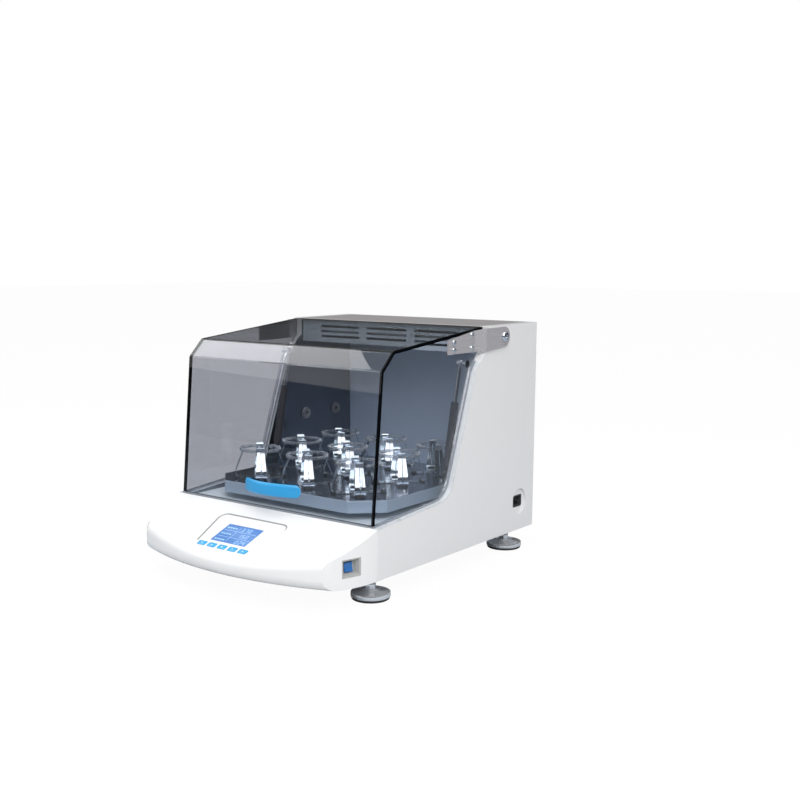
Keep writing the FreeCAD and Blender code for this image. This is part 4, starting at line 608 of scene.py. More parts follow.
class Shell:
    """A mesh under construction.

    weld and fine_weld are distances in metres within which points are joined, and flat is the angle
    in degrees up to which two faces count as one. shoulder is how far a plate's soft edge has come
    down and in at its middle point, and tiny keeps a length that is divided by above zero.
    """

    weld = 1e-6
    fine_weld = 1e-7
    flat = 0.1
    shoulder = 0.3
    tiny = 1e-9

    def __init__(self) -> None:
        """Start an empty mesh."""
        self.bm = bmesh.new()

    def rings(self, rows: list[list[Vector]], finish: int = 0) -> None:
        """Skin a row of closed sections and cap both ends.

        Args:
            rows: Sections with the same number of points.
            finish: Material index of the new faces.
        """
        grid = [[self.bm.verts.new(point) for point in row] for row in rows]
        count = len(grid[0])
        made = []
        for row, following in zip(grid, grid[1:]):
            for spot in range(count):
                after = (spot + 1) % count
                made.append(self.bm.faces.new((row[spot], row[after], following[after], following[spot])))
        made.append(self.bm.faces.new(list(reversed(grid[0]))))
        made.append(self.bm.faces.new(grid[-1]))
        for face in made:
            face.material_index = finish

    def lathe(self, profile: list[tuple[float, float]], steps: int, finish: int, matrix: Matrix) -> None:
        """Turn a closed section about the Z axis of a matrix.

        Args:
            profile: Radius and height of each point, from the axis to the axis.
            steps: Segments of the turn.
            finish: Material index.
            matrix: Where the axis stands.
        """
        rows = []
        for radius, height in profile:
            count = steps if radius else 1
            rows.append([self.bm.verts.new(matrix @ on_circle(radius, 2 * math.pi * step / steps, height))
                         for step in range(count)])
        for first, second in zip(rows, rows[1:]):
            for step in range(steps):
                after = (step + 1) % steps
                corners = [first[step % len(first)], first[after % len(first)],
                           second[after % len(second)], second[step % len(second)]]
                unique = list(dict.fromkeys(corners))
                if len(unique) > 2:
                    self.bm.faces.new(unique).material_index = finish

    def slab(self, points: list[tuple[float, float]], low: float, high: float, matrix: Matrix,
             finish: int = 0, crown: float = 0.0, inset: float = 0.0) -> None:
        """Plate with any outline, perhaps with a soft upper edge.

        Args:
            points: Outline in the matrix's XY plane, counter-clockwise.
            low: Height of the lower face.
            high: Height of the upper face.
            matrix: Where the plate lies.
            finish: Material index.
            crown: How far the upper edge is rounded down.
            inset: How far the upper face is drawn in.
        """
        middle = Vector((sum(x for x, _ in points), sum(y for _, y in points))) / len(points)
        levels = [(low, 0.0), (high - crown, 0.0)]
        if crown:
            levels += [(high - crown * self.shoulder, inset * self.shoulder), (high, inset)]
        rows = []
        for height, drawn in levels:
            row = []
            for x, y in points:
                lean = Vector((x, y)) - middle
                kept = lean * max(0.0, 1.0 - drawn / max(lean.length, self.tiny))
                row.append(matrix @ Vector((middle.x + kept.x, middle.y + kept.y, height)))
            rows.append(row)
        self.rings(rows, finish=finish)

    def box(self, low: Vector, high: Vector, matrix: Matrix) -> None:
        """Block between two corners."""
        outline = [(low.x, low.y), (high.x, low.y), (high.x, high.y), (low.x, high.y)]
        self.slab(outline, low.z, high.z, matrix)

    def take(self, node: str) -> None:
        """Copy a CAD node's mesh into this one, weld it and join its flat triangles.

        Args:
            node: Name of the node.
        """
        self.bm.from_mesh(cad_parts[node].data)
        bmesh.ops.remove_doubles(self.bm, verts=self.bm.verts, dist=self.weld)
        bmesh.ops.dissolve_limit(self.bm, angle_limit=math.radians(self.flat), verts=self.bm.verts,
                                 edges=self.bm.edges)

    def outward(self) -> None:
        """Weld the mesh and turn every face outwards."""
        bmesh.ops.remove_doubles(self.bm, verts=self.bm.verts, dist=self.fine_weld)
        bmesh.ops.recalc_face_normals(self.bm, faces=self.bm.faces)

    def mesh(self, name: str) -> bpy.types.Mesh:
        """Close the work.

        Args:
            name: Name of the mesh.

        Returns:
            The mesh.
        """
        made = bpy.data.meshes.new(name)
        self.bm.to_mesh(made)
        self.bm.free()
        return made


@dataclass
class Piece:
    """How a finished mesh joins the object."""

    name: str
    body: str
    slot: str
    finishes: tuple[Finish, ...]
    stands_for: tuple[str, ...] = ()
    crease: float = 32.0

    def settle(self, mesh: bpy.types.Mesh,
               shared: tuple[str, Vector, Vector] | None = None) -> bpy.types.Object:
        """Dress a mesh and let it ride.

        Args:
            mesh: Mesh with its place in its points.
            shared: If given, the object is left on no body with its transform baked; the body and the points
                in it are not used.

        Returns:
            The object.
        """
        picks = [face.material_index for face in mesh.polygons]
        mesh.materials.clear()
        for finish in self.finishes:
            mesh.materials.append(finish.made())
        mesh.polygons.foreach_set("material_index", picks)
        if not mesh.has_custom_normals:
            mesh.shade_smooth()
            mesh.set_sharp_from_angle(angle=math.radians(self.crease))
        thing = bpy.data.objects.new(self.name, mesh)
        bpy.context.scene.collection.objects.link(thing)
        if shared:
            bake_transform(thing)
        else:
            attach(thing, self.body)
        if self.stands_for:
            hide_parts(*self.stands_for)
        LOG.info("%s: %d faces on %s", self.name, len(mesh.polygons), self.body)
        return thing

    def wrap(self, shell: Shell, shared: tuple[str, Vector, Vector] | None = None) -> bpy.types.Object:
        """Close a shell and settle its mesh, passing shared on to settle."""
        return self.settle(shell.mesh(self.name), shared)


def softened(piece: Piece, node: str, width: float, steps: int = 2, angle: float = 38.0,
             choice: Callable[[bpy.types.MeshPolygon], int] | None = None) -> bpy.types.Object:
    """Copy of a CAD node with its sharp edges rounded and its flat faces evenly lit.

    Args:
        piece: How the copy joins the object.
        node: The CAD node that it stands for.
        width: Width of the rounding in metres, or 0 for none.
        steps: Segments of the rounding.
        angle: Least angle in degrees of an edge that is rounded.
        choice: Which of the piece's finishes a face takes.

    Returns:
        The object.
    """
    shell = Shell()
    shell.take(node)
    mesh = shell.mesh(piece.name)
    mesh.shade_smooth()
    mesh.set_sharp_from_angle(angle=math.radians(piece.crease))
    holder = bpy.data.objects.new(piece.name + "_work", mesh)
    bpy.context.scene.collection.objects.link(holder)
    if width:
        bevel = holder.modifiers.new("rounding", "BEVEL")
        bevel.width = width
        bevel.segments = steps
        bevel.limit_method = "ANGLE"
        bevel.angle_limit = math.radians(angle)
        bevel.use_clamp_overlap = True
    even = holder.modifiers.new("even_normals", "WEIGHTED_NORMAL")
    even.keep_sharp = True
    even.weight = 90
    graph = bpy.context.evaluated_depsgraph_get()
    made = bpy.data.meshes.new_from_object(holder.evaluated_get(graph))
    bpy.data.objects.remove(holder)
    for face in made.polygons:
        face.material_index = choice(face) if choice else 0
    return piece.settle(made)


class Grower:
    """A Geometry Nodes tree, and the plain mesh that it grows."""

    def __init__(self, name: str) -> None:
        """Start a tree with a way in and a way out.

        Args:
            name: Name of the tree.
        """
        self.tree = bpy.data.node_groups.new(name, "GeometryNodeTree")
        face = self.tree.interface
        face.new_socket("Geometry", in_out="INPUT", socket_type="NodeSocketGeometry")
        face.new_socket("Geometry", in_out="OUTPUT", socket_type="NodeSocketGeometry")
        self.source = self.tree.nodes.new("NodeGroupInput")
        self.result = self.tree.nodes.new("NodeGroupOutput")
        self.values: dict[str, object] = {}

    def size(self, name: str, value: object, kind: str = "Float") -> bpy.types.NodeSocket:
        """Add a named input.

        Args:
            name: Name of the input.
            value: Its value.
            kind: Float, Int, Vector, Object or Material.

        Returns:
            The socket inside the tree.
        """
        made = self.tree.interface.new_socket(name, in_out="INPUT", socket_type="NodeSocket" + kind)
        self.values[made.identifier] = value
        return next(item for item in self.source.outputs if item.identifier == made.identifier)

    def add(self, kind: str, settings: dict | None = None, feeds: dict | None = None) -> bpy.types.Node:
        """Add a node.

        Args:
            kind: Blender's name of the node type.
            settings: Properties of the node.
            feeds: Values or output sockets by input name or number.

        Returns:
            The new node.
        """
        node = self.tree.nodes.new(kind)
        for key, value in (settings or {}).items():
            setattr(node, key, value)
        for key, value in (feeds or {}).items():
            if isinstance(value, bpy.types.NodeSocket):
                self.tree.links.new(value, node.inputs[key])
            else:
                node.inputs[key].default_value = value
        return node

    def sum(self, operation: str, first: object, second: object = 0.0,
            third: object = 0.0) -> bpy.types.NodeSocket:
        """One step of arithmetic."""
        node = self.add("ShaderNodeMath", {"operation": operation}, {0: first, 1: second, 2: third})
        return node.outputs[0]

    def sow(self, copy: bpy.types.NodeSocket, finish: Finish, **turn: bpy.types.NodeSocket) -> None:
        """Put a copy on every seed point, as plain geometry with its material.

        Args:
            copy: Geometry of one copy.
            finish: Finish of the copies.
            turn: Rotation of the copies, if they have one.
        """
        spread = self.add("GeometryNodeInstanceOnPoints",
                          feeds={"Points": self.source.outputs[0], "Instance": copy, **turn})
        real = self.add("GeometryNodeRealizeInstances", feeds={"Geometry": spread.outputs[0]})
        paint = self.size("Finish", finish.made(), "Material")
        dress = self.add("GeometryNodeSetMaterial", feeds={"Geometry": real.outputs[0], "Material": paint})
        self.tree.links.new(dress.outputs[0], self.result.inputs[0])

    def grow(self, seeds: bpy.types.Mesh, name: str) -> bpy.types.Mesh:
        """Run the tree on a mesh.

        Args:
            seeds: Mesh whose points the tree starts from.
            name: Name of the new mesh.

        Returns:
            The plain mesh.
        """
        holder = bpy.data.objects.new(name + "_seeds", seeds)
        bpy.context.scene.collection.objects.link(holder)
        modifier = holder.modifiers.new("grow", "NODES")
        modifier.node_group = self.tree
        for identifier, value in self.values.items():
            modifier[identifier] = value
        graph = bpy.context.evaluated_depsgraph_get()
        made = bpy.data.meshes.new_from_object(holder.evaluated_get(graph))
        made.name = name
        holder.modifiers.remove(modifier)
        bpy.data.objects.remove(holder)
        return made


def seed_points(spots: list[Vector], aims: list[Vector] | None = None) -> bpy.types.Mesh:
    """Points for a tree to start from.

    Args:
        spots: Places in metres.
        aims: Direction that each copy's Z axis takes.

    Returns:
        A mesh of loose points with an aim attribute.
    """
    mesh = bpy.data.meshes.new("seeds")
    mesh.from_pydata([tuple(spot) for spot in spots], [], [])
    aim = mesh.attributes.new("aim", "FLOAT_VECTOR", "POINT")
    for index in range(len(spots)):
        aim.data[index].vector = aims[index] if aims else Vector((0.0, 0.0, 1.0))
    return mesh


def sown(pattern: bpy.types.Mesh, seeds: bpy.types.Mesh, finish: Finish, name: str,
         turns: int = 1, lead: float = 0.0) -> bpy.types.Mesh:
    """Copies of a pattern at seed points, each perhaps repeated round its own axis.

    Args:
        pattern: Mesh of one copy, drawn about the origin.
        seeds: Points with an aim attribute.
        finish: Finish of the copies.
        name: Name of the result.
        turns: Copies round each seed's axis.
        lead: Angle in radians of the first of them.

    Returns:
        The plain mesh.
    """
    holder = bpy.data.objects.new(name + "_pattern", pattern)
    bpy.context.scene.collection.objects.link(holder)
    grower = Grower(name + "_tree")
    shape = grower.add("GeometryNodeObjectInfo", feeds={"Object": grower.size("Pattern", holder, "Object")})
    copy = shape.outputs["Geometry"]
    if turns > 1:
        count = grower.size("Copies_Round", turns, "Int")
        start = grower.size("First_Angle", lead)
        line = grower.add("GeometryNodeMeshLine", feeds={"Count": count, "Offset": (0.0, 0.0, 0.0)})
        index = grower.add("GeometryNodeInputIndex").outputs[0]
        share = grower.sum("DIVIDE", index, count)
        angle = grower.sum("MULTIPLY_ADD", share, 2 * math.pi, start)
        spin = grower.add("ShaderNodeCombineXYZ", feeds={"Z": angle})
        ring = grower.add("GeometryNodeInstanceOnPoints",
                          feeds={"Points": line.outputs[0], "Instance": copy, "Rotation": spin.outputs[0]})
        copy = ring.outputs[0]
    aim = grower.add("GeometryNodeInputNamedAttribute", {"data_type": "FLOAT_VECTOR"}, {"Name": "aim"})
    point = grower.add("FunctionNodeAlignRotationToVector", {"axis": "Z"}, {"Vector": aim.outputs[0]})
    grower.sow(copy, finish, Rotation=point.outputs[0])
    made = grower.grow(seeds, name)
    bpy.data.objects.remove(holder)
    return made


def coil_ring(seeds: bpy.types.Mesh, finish: Finish, name: str, ring: float, coil: float, wire: float,
              turns: int, steps: int) -> bpy.types.Mesh:
    """Closed coil springs at seed points.

    Args:
        seeds: Centres of the rings.
        finish: Finish of the wire.
        name: Name of the result.
        ring: Radius of the ring's centre line.
        coil: Radius of a turn of wire.
        wire: Radius of the wire.
        turns: Turns of wire in one ring.
        steps: Points in one turn.

    Returns:
        The plain mesh.
    """
    grower = Grower(name + "_tree")
    ring_radius = grower.size("Ring_Radius", ring)
    coil_radius = grower.size("Coil_Radius", coil)
    wire_radius = grower.size("Wire_Radius", wire)
    wound = grower.size("Turns", turns, "Int")
    fine = grower.size("Steps_In_Turn", steps, "Int")
    count = grower.sum("MULTIPLY", wound, fine)
    line = grower.add("GeometryNodeCurvePrimitiveCircle", feeds={"Resolution": count, "Radius": ring_radius})
    index = grower.add("GeometryNodeInputIndex").outputs[0]
    angle = grower.sum("MULTIPLY", grower.sum("DIVIDE", index, count), 2 * math.pi)
    phase = grower.sum("MULTIPLY", angle, wound)
    reach = grower.sum("MULTIPLY_ADD", grower.sum("COSINE", phase), coil_radius, ring_radius)
    place = grower.add("ShaderNodeCombineXYZ", feeds={
        "X": grower.sum("MULTIPLY", grower.sum("COSINE", angle), reach),
        "Y": grower.sum("MULTIPLY", grower.sum("SINE", angle), reach),
        "Z": grower.sum("MULTIPLY", grower.sum("SINE", phase), coil_radius)})
    bent = grower.add("GeometryNodeSetPosition",
                      feeds={"Geometry": line.outputs[0], "Position": place.outputs[0]})
    section = grower.add("GeometryNodeCurvePrimitiveCircle", feeds={
        "Resolution": WIRE_SIDES, "Radius": wire_radius})
    skin = grower.add("GeometryNodeCurveToMesh",
                      feeds={"Curve": bent.outputs[0], "Profile Curve": section.outputs[0]})
    grower.sow(skin.outputs[0], finish)
    return grower.grow(seeds, name)


def helix_thread(seeds: bpy.types.Mesh, finish: Finish, name: str, radius: float, ridge: float,
                 pitch: float, length: float) -> bpy.types.Mesh:
    """Screw thread that winds up from each seed point.

    Args:
        seeds: Foot of each thread.
        finish: Finish of the thread.
        name: Name of the result.
        radius: Radius of the ridge's centre line.
        ridge: Radius of the ridge's section.
        pitch: Rise in one turn.
        length: Height of the thread.

    Returns:
        The plain mesh.
    """
    grower = Grower(name + "_tree")
    rise = grower.size("Length", length)
    step = grower.size("Pitch", pitch)
    core = grower.size("Radius", radius)
    turns = grower.sum("DIVIDE", rise, step)
    spiral = grower.add("GeometryNodeCurveSpiral", feeds={
        "Resolution": THREAD_STEPS, "Rotations": turns, "Start Radius": core, "End Radius": core,
        "Height": rise})
    section = grower.add("GeometryNodeCurvePrimitiveCircle",
                         feeds={"Resolution": RIDGE_SIDES, "Radius": grower.size("Ridge", ridge)})
    skin = grower.add("GeometryNodeCurveToMesh", feeds={
        "Curve": spiral.outputs[0], "Profile Curve": section.outputs[0], "Fill Caps": True})
    grower.sow(skin.outputs[0], finish)
    return grower.grow(seeds, name)


# Outlines


def rounded_line(points: list[Vector], radius: float, steps: int = 6) -> list[Vector]:
    """Line with its inner corners rounded.

    Args:
        points: Corners of the line.
        radius: Radius at each inner corner.
        steps: Segments of each rounding.

    Returns:
        The points of the rounded line.
    """
    made = [points[0]]
    for before, corner, after in zip(points, points[1:], points[2:]):
        back, ahead = (before - corner).normalized(), (after - corner).normalized()
        half = back.angle(ahead) / 2
        reach = radius / math.tan(half)
        centre = corner + (back + ahead).normalized() * (radius / math.sin(half))
        first, last = corner + back * reach - centre, corner + ahead * reach - centre
        for step in range(steps + 1):
            made.append(centre + first.slerp(last, step / steps) * first.length)
    made.append(points[-1])
    return made


def rounded_box_outline(wide: float, deep: float, radii: tuple[float, float, float, float],
                        steps: int = 5) -> list[tuple[float, float]]:
    """Rectangle about the origin with a radius for each corner.

    Args:
        wide: Size along X.
        deep: Size along Y.
        radii: Corner radii, counter-clockwise from the corner at -X and -Y.
        steps: Segments of each rounding.

    Returns:
        The outline, counter-clockwise.
    """
    made = []
    corners = [(-wide / 2, -deep / 2), (wide / 2, -deep / 2), (wide / 2, deep / 2), (-wide / 2, deep / 2)]
    for number, ((x, y), radius) in enumerate(zip(corners, radii)):
        centre = (x - math.copysign(radius, x), y - math.copysign(radius, y))
        start = math.pi + number * math.pi / 2
        for step in range(steps + 1):
            turn = start + step * math.pi / 2 / steps
            made.append((centre[0] + radius * math.cos(turn), centre[1] + radius * math.sin(turn)))
    return made


# Assemblies


@dataclass
class ClearLid:
    """Bent front and top sheet, bonded side panels and the bowed grip."""

    half: float = 0.205
    sheet: float = 0.005
    # Depth of the dark seam strips, which are painted shade.
    seam_shade_depth: float = 0.0004
    bend: float = 0.007
    profile: tuple[tuple[float, float], ...] = ((0.363, 3.8), (22.2, 232.6), (51.2, 260.6), (294.0, 284.6))
    grip_half: float = 0.060
    grip_inner_half: float = 0.050
    grip_reach: float = 0.024
    grip_inner_reach: float = 0.015
    grip_low: float = 0.025
    grip_high: float = 0.021
    grip_round: float = 0.0045
    grip_shoulder: float = 0.92
    grip_end: float = 0.7
    grip_stations: int = 36
    top_slope: float = 0.9
    cut_slope: float = 0.3

    def build(self) -> None:
        """Make the lid's pieces."""
        self.bent_sheet()
        self.seam_shade_lines()
        self.side_panels()
        self.grip()

    def line(self, depth: float) -> list[Vector]:
        """Follow the bent sheet.

        Args:
            depth: How far inside the sheet's outer face the line lies.

        Returns:
            The line's points, midway across.
        """
        outer = [from_datum(0.0, back, up) for back, up in self.profile]
        corners = []
        for index, point in enumerate(outer):
            before = (point - outer[index - 1]).normalized() if index else None
            after = (outer[index + 1] - point).normalized() if index + 1 < len(outer) else None
            squares = [Vector((0.0, course.z, -course.y)) for course in (before, after) if course]
            mean = sum(squares, Vector()) / len(squares)
            corners.append(point + mean * (depth / mean.length_squared))
        return rounded_line(corners, self.bend - depth)

    def seam_shade_lines(self) -> None:
        """Dark strips at the seams between the bent sheet and the side panels: painted shade for the dark
        look of the side panels' cut edges.
        """
        near, far = self.line(self.sheet - self.seam_shade_depth / 4), self.line(self.sheet + self.seam_shade_depth)
        shell = Shell()
        for side in SIDES:
            reach = Vector((side * (self.half - self.seam_shade_depth), 0.0, 0.0))
            back = Vector((side * (self.half - self.sheet), 0.0, 0.0))
            shell.rings([[first + back, first + reach, second + reach, second + back]
                         for first, second in zip(near[:-1], far[:-1])])
        shell.outward()
        Piece("lid_bond_lines", "lid", "clear_lid", (SHEET_EDGE,)).wrap(shell)

    def bent_sheet(self) -> None:
        """Front and top in one bent sheet, with sawn edges; the flat top takes a lighter tint than the front,
        painted light for what is seen through it.
        """
        outside, inside = self.line(0.0), self.line(self.sheet)
        shell = Shell()
        section = outside + list(reversed(inside))
        left = [shell.bm.verts.new(point - Vector((self.half, 0.0, 0.0))) for point in section]
        right = [shell.bm.verts.new(point + Vector((self.half, 0.0, 0.0))) for point in section]
        count, run = len(section), len(outside)
        for index in range(count):
            after = (index + 1) % count
            face = shell.bm.faces.new((left[index], left[after], right[after], right[index]))
            face.material_index = 1 if index in (run - 1, count - 1) else 0
        for row in (left, right):
            for index in range(run - 1):
                far = count - 1 - index
                shell.bm.faces.new((row[index], row[index + 1], row[far - 1], row[far])).material_index = 1
        shell.outward()
        # The sheet's flat top takes the lighter tint: painted light.
        for face in shell.bm.faces:
            if face.material_index == 0 and abs(face.normal.z) > self.top_slope:
                face.material_index = 2
        Piece("lid_front_and_top", "lid", "clear_lid", (SMOKY_SHEET, SHEET_EDGE, SMOKY_TOP_PAINTED_LIGHT),
              ("lid_sheet",)).wrap(shell)

    def side_panels(self) -> None:
        """Side panels, clear on their faces and dark on their edges."""
        shell = Shell()
        shell.take("lid_sides")
        for face in shell.bm.faces:
            cut = face.normal.z > self.cut_slope or face.normal.y < -self.cut_slope
            face.material_index = int(cut)
        Piece("lid_side_panels", "lid", "clear_lid", (SMOKY_SHEET, SHEET_EDGE), ("lid_sides",)).wrap(shell)

    def grip(self) -> None:
        """Bowed grip with soft edges, drawn in the frame of the lid's front."""
        def bow(half: float, reach: float, share: float) -> Vector:
            """Find a point on a bow.

            Args:
                half: Half the distance between its ends.
                reach: How far its middle stands out.
                share: Place along it, from -1 to 1.

            Returns:
                The point.
            """
            radius = (half * half + reach * reach) / (2 * reach)
            turn = math.asin(half / radius) * share
            return Vector((radius * math.sin(turn), -(radius * math.cos(turn) - (radius - reach)), 0.0))

        middle = self.grip_low + self.grip_high / 2
        shell = Shell()
        rows = []
        for step in range(self.grip_stations + 1):
            share = -1.0 + 2.0 * step / self.grip_stations
            outer = bow(self.grip_half, self.grip_reach, share)
            inner = bow(self.grip_inner_half, self.grip_inner_reach, share)
            across = outer - inner
            centre = (outer + inner) / 2
            course = across.normalized()
            close = max(0.0, abs(share) - self.grip_shoulder) / (1.0 - self.grip_shoulder)
            high = self.grip_high * (self.grip_end + (1.0 - self.grip_end) * math.sqrt(1.0 - close * close))
            section = rounded_box_outline(across.length, high, (self.grip_round,) * 4, 4)
            rows.append([LID_FRONT @ (centre + course * x + Vector((0.0, 0.0, middle + z)))
                         for x, z in section])
        shell.rings(rows)
        shell.outward()
        Piece("lid_grip", "lid", "blue_plastic", (GRIP_BLUE,), ("lid_handle",)).wrap(shell)


# Printed marks of the keys, each an outline in millimetres about its own middle.
DOT = 1.5
DOT_SIDES = 16
MARKS: tuple[tuple[tuple[float, float], ...], ...] = (
    ((-1.8, 0.2), (-1.2, 0.8), (-0.4, 0.0), (1.4, 1.6), (2.0, 1.0), (-0.4, -1.3)),
    ((-1.9, -1.1), (1.9, -1.1), (0.0, 1.5)),
    tuple((DOT * math.cos(turn * 2 * math.pi / DOT_SIDES), DOT * math.sin(turn * 2 * math.pi / DOT_SIDES))
          for turn in range(DOT_SIDES)),
    ((-1.9, 1.1), (0.0, -1.5), (1.9, 1.1)),
    ((-1.3, -1.6), (1.9, 0.0), (-1.3, 1.6)),
)


@dataclass
class ControlPanel:
    """Film border, keys and display on the sloping deck."""

    shift: float = -0.004
    head: float = 0.031
    foot: float = 0.121
    head_half: float = 0.075
    foot_half: float = 0.059
    corner: float = 0.014
    film: float = 0.0008
    key_row: float = 0.1135
    key_size: tuple[float, float] = (0.017, 0.010)
    key_pitch: float = 0.022
    key_top: float = 0.0018
    key_low: float = -0.0038
    key_round: float = 0.002
    key_end_round: float = 0.0045
    key_crown: float = 0.0008
    key_inset: float = 0.0011
    mark_sunk: float = 0.0002
    mark_rise: float = 0.00006
    line_inset: float = 0.0012
    line_start: float = 0.012
    line_aim: tuple[float, float] = (0.008, 0.045)
    ridge: float = 0.0019
    ridge_rise: float = 0.00018
    highlight_fade: float = 2.6
    highlight_end: float = 0.06
    screen_head: float = 0.055
    screen_half: float = 0.0375
    screen_top: float = 0.0004
    bar_rise: float = 0.00008
    rules: tuple[tuple[float, float, float, float], ...] = (
        (4.0, 15.5, 71.0, 16.1), (4.0, 32.0, 71.0, 32.6), (30.0, 4.0, 30.6, 43.0))
    row_start: float = 4.5
    row_pitch: float = 15.8
    label: tuple[float, float, float, float] = (5.0, 3.0, 8.5, 6.0)
    label_pitch: float = 5.5
    label_count: int = 4
    digits: tuple[str, ...] = ("370", "150", "024")
    digits_start: float = 36.0
    digits_shift: float = 6.0
    figure: tuple[float, float, float] = (4.6, 8.6, 0.9)
    figure_pitch: float = 7.4

    def build(self) -> None:
        """Make the panel's pieces."""
        self.border()
        self.keys()
        self.readout()

    def border(self) -> None:
        """Fine embossed ridge round the film's upper edge, grey as painted shade, narrowing until it dies out
        past the right corner as painted highlight.
        """
        inset = self.line_inset
        aside, above = self.line_aim
        corners = [Vector((self.shift - self.foot_half, -self.foot + self.line_start, 0.0)),
                   Vector((self.shift - self.head_half + inset, -self.head - inset, 0.0)),
                   Vector((self.shift + self.head_half - inset, -self.head - inset, 0.0)),
                   Vector((self.shift + self.foot_half + aside - inset, -self.foot + above, 0.0))]
        line = rounded_line(corners, self.corner - inset, 8)[:-1]
        shell = Shell()
        rows = []
        last = len(line) - 1
        for index, point in enumerate(line):
            course = (line[min(index + 1, last)] - line[max(index - 1, 0)]).normalized()
            side = Vector((-course.y, course.x, 0.0))
            # The line narrows towards its right end: painted highlight where the light washes it out.
            wide = side * (self.ridge * min(1.0, self.highlight_fade * (1.0 - index / last) + self.highlight_end))
            foot = point + Vector((0.0, 0.0, self.film))
            crest = foot + Vector((0.0, 0.0, self.ridge_rise))
            rows.append([DECK @ (foot - wide), DECK @ (crest - wide / 2),
                         DECK @ (crest + wide / 2), DECK @ (foot + wide)])
        shell.rings(rows)
        shell.outward()
        Piece("film_border", CASING, "overlay_film", (BORDER_SHADE_GREY,)).wrap(shell)

    def keys(self) -> None:
        """Soft keys with a printed mark each."""
        wide, deep = self.key_size
        middle = (len(MARKS) + 1) / 2
        for number, mark in enumerate(MARKS, start=1):
            centre = Vector((self.shift + self.key_pitch * (number - middle), -self.key_row, 0.0))
            matrix = DECK @ Matrix.Translation(centre)
            left = self.key_end_round if number == 1 else self.key_round
            right = self.key_end_round if number == len(MARKS) else self.key_round
            outline = rounded_box_outline(wide, deep, (left, right, self.key_round, self.key_round))
            shell = Shell()
            shell.slab(outline, self.key_low, self.key_top, matrix, crown=self.key_crown,
                       inset=self.key_inset)
            shell.slab(in_metres(mark), self.key_top - self.mark_sunk, self.key_top + self.mark_rise,
                       matrix, finish=1)
            shell.outward()
            Piece("key_cap_%d" % number, "key_%d_cap" % number, "blue_plastic", (KEY_BLUE, PRINT_WHITE),
                  ("key_%d" % number,)).wrap(shell)

    def readout(self) -> None:
        """Generic numbers and rules on the display."""
        shell = Shell()
        left, high = self.shift - self.screen_half, -self.screen_head

        def bar(x0: float, y0: float, x1: float, y1: float) -> None:
            """Raised bar between two corners, in millimetres from the display's upper left corner."""
            shell.box(Vector((left + x0 / 1000, high - y1 / 1000, self.screen_top)),
                      Vector((left + x1 / 1000, high - y0 / 1000, self.screen_top + self.bar_rise)), DECK)

        for rule in self.rules:
            bar(*rule)
        x0, y0, x1, y1 = self.label
        for row, digits in enumerate(self.digits):
            top = self.row_start + self.row_pitch * row
            for column in range(self.label_count):
                along = self.label_pitch * column
                bar(x0 + along, top + y0, x1 + along, top + y1)
            self.number(bar, self.digits_start + self.digits_shift * row, top, digits)
        shell.outward()
        Piece("display_readout", CASING, "display_glass", (SEGMENT_WHITE,)).wrap(shell)

    def number(self, bar: Callable[[float, float, float, float], None], x: float, y: float,
               digits: str) -> None:
        """Seven-segment figures.

        Args:
            bar: Function that lays one bar.
            x: Left edge in millimetres.
            y: Upper edge in millimetres.
            digits: The figures.
        """
        lit = {"0": "abcdef", "1": "bc", "2": "abged", "3": "abgcd", "4": "fgbc", "5": "afgcd", "7": "abc"}
        wide, high, line = self.figure
        spots = {"a": (0, 0, wide, line), "g": (0, high / 2 - line / 2, wide, high / 2 + line / 2),
                 "d": (0, high - line, wide, high), "f": (0, 0, line, high / 2),
                 "b": (wide - line, 0, wide, high / 2), "e": (0, high / 2, line, high),
                 "c": (wide - line, high / 2, wide, high)}
        for place, figure in enumerate(digits):
            start = x + place * self.figure_pitch
            for name in lit[figure]:
                x0, y0, x1, y1 = spots[name]
                bar(start + x0, y + y0, start + x1, y + y1)


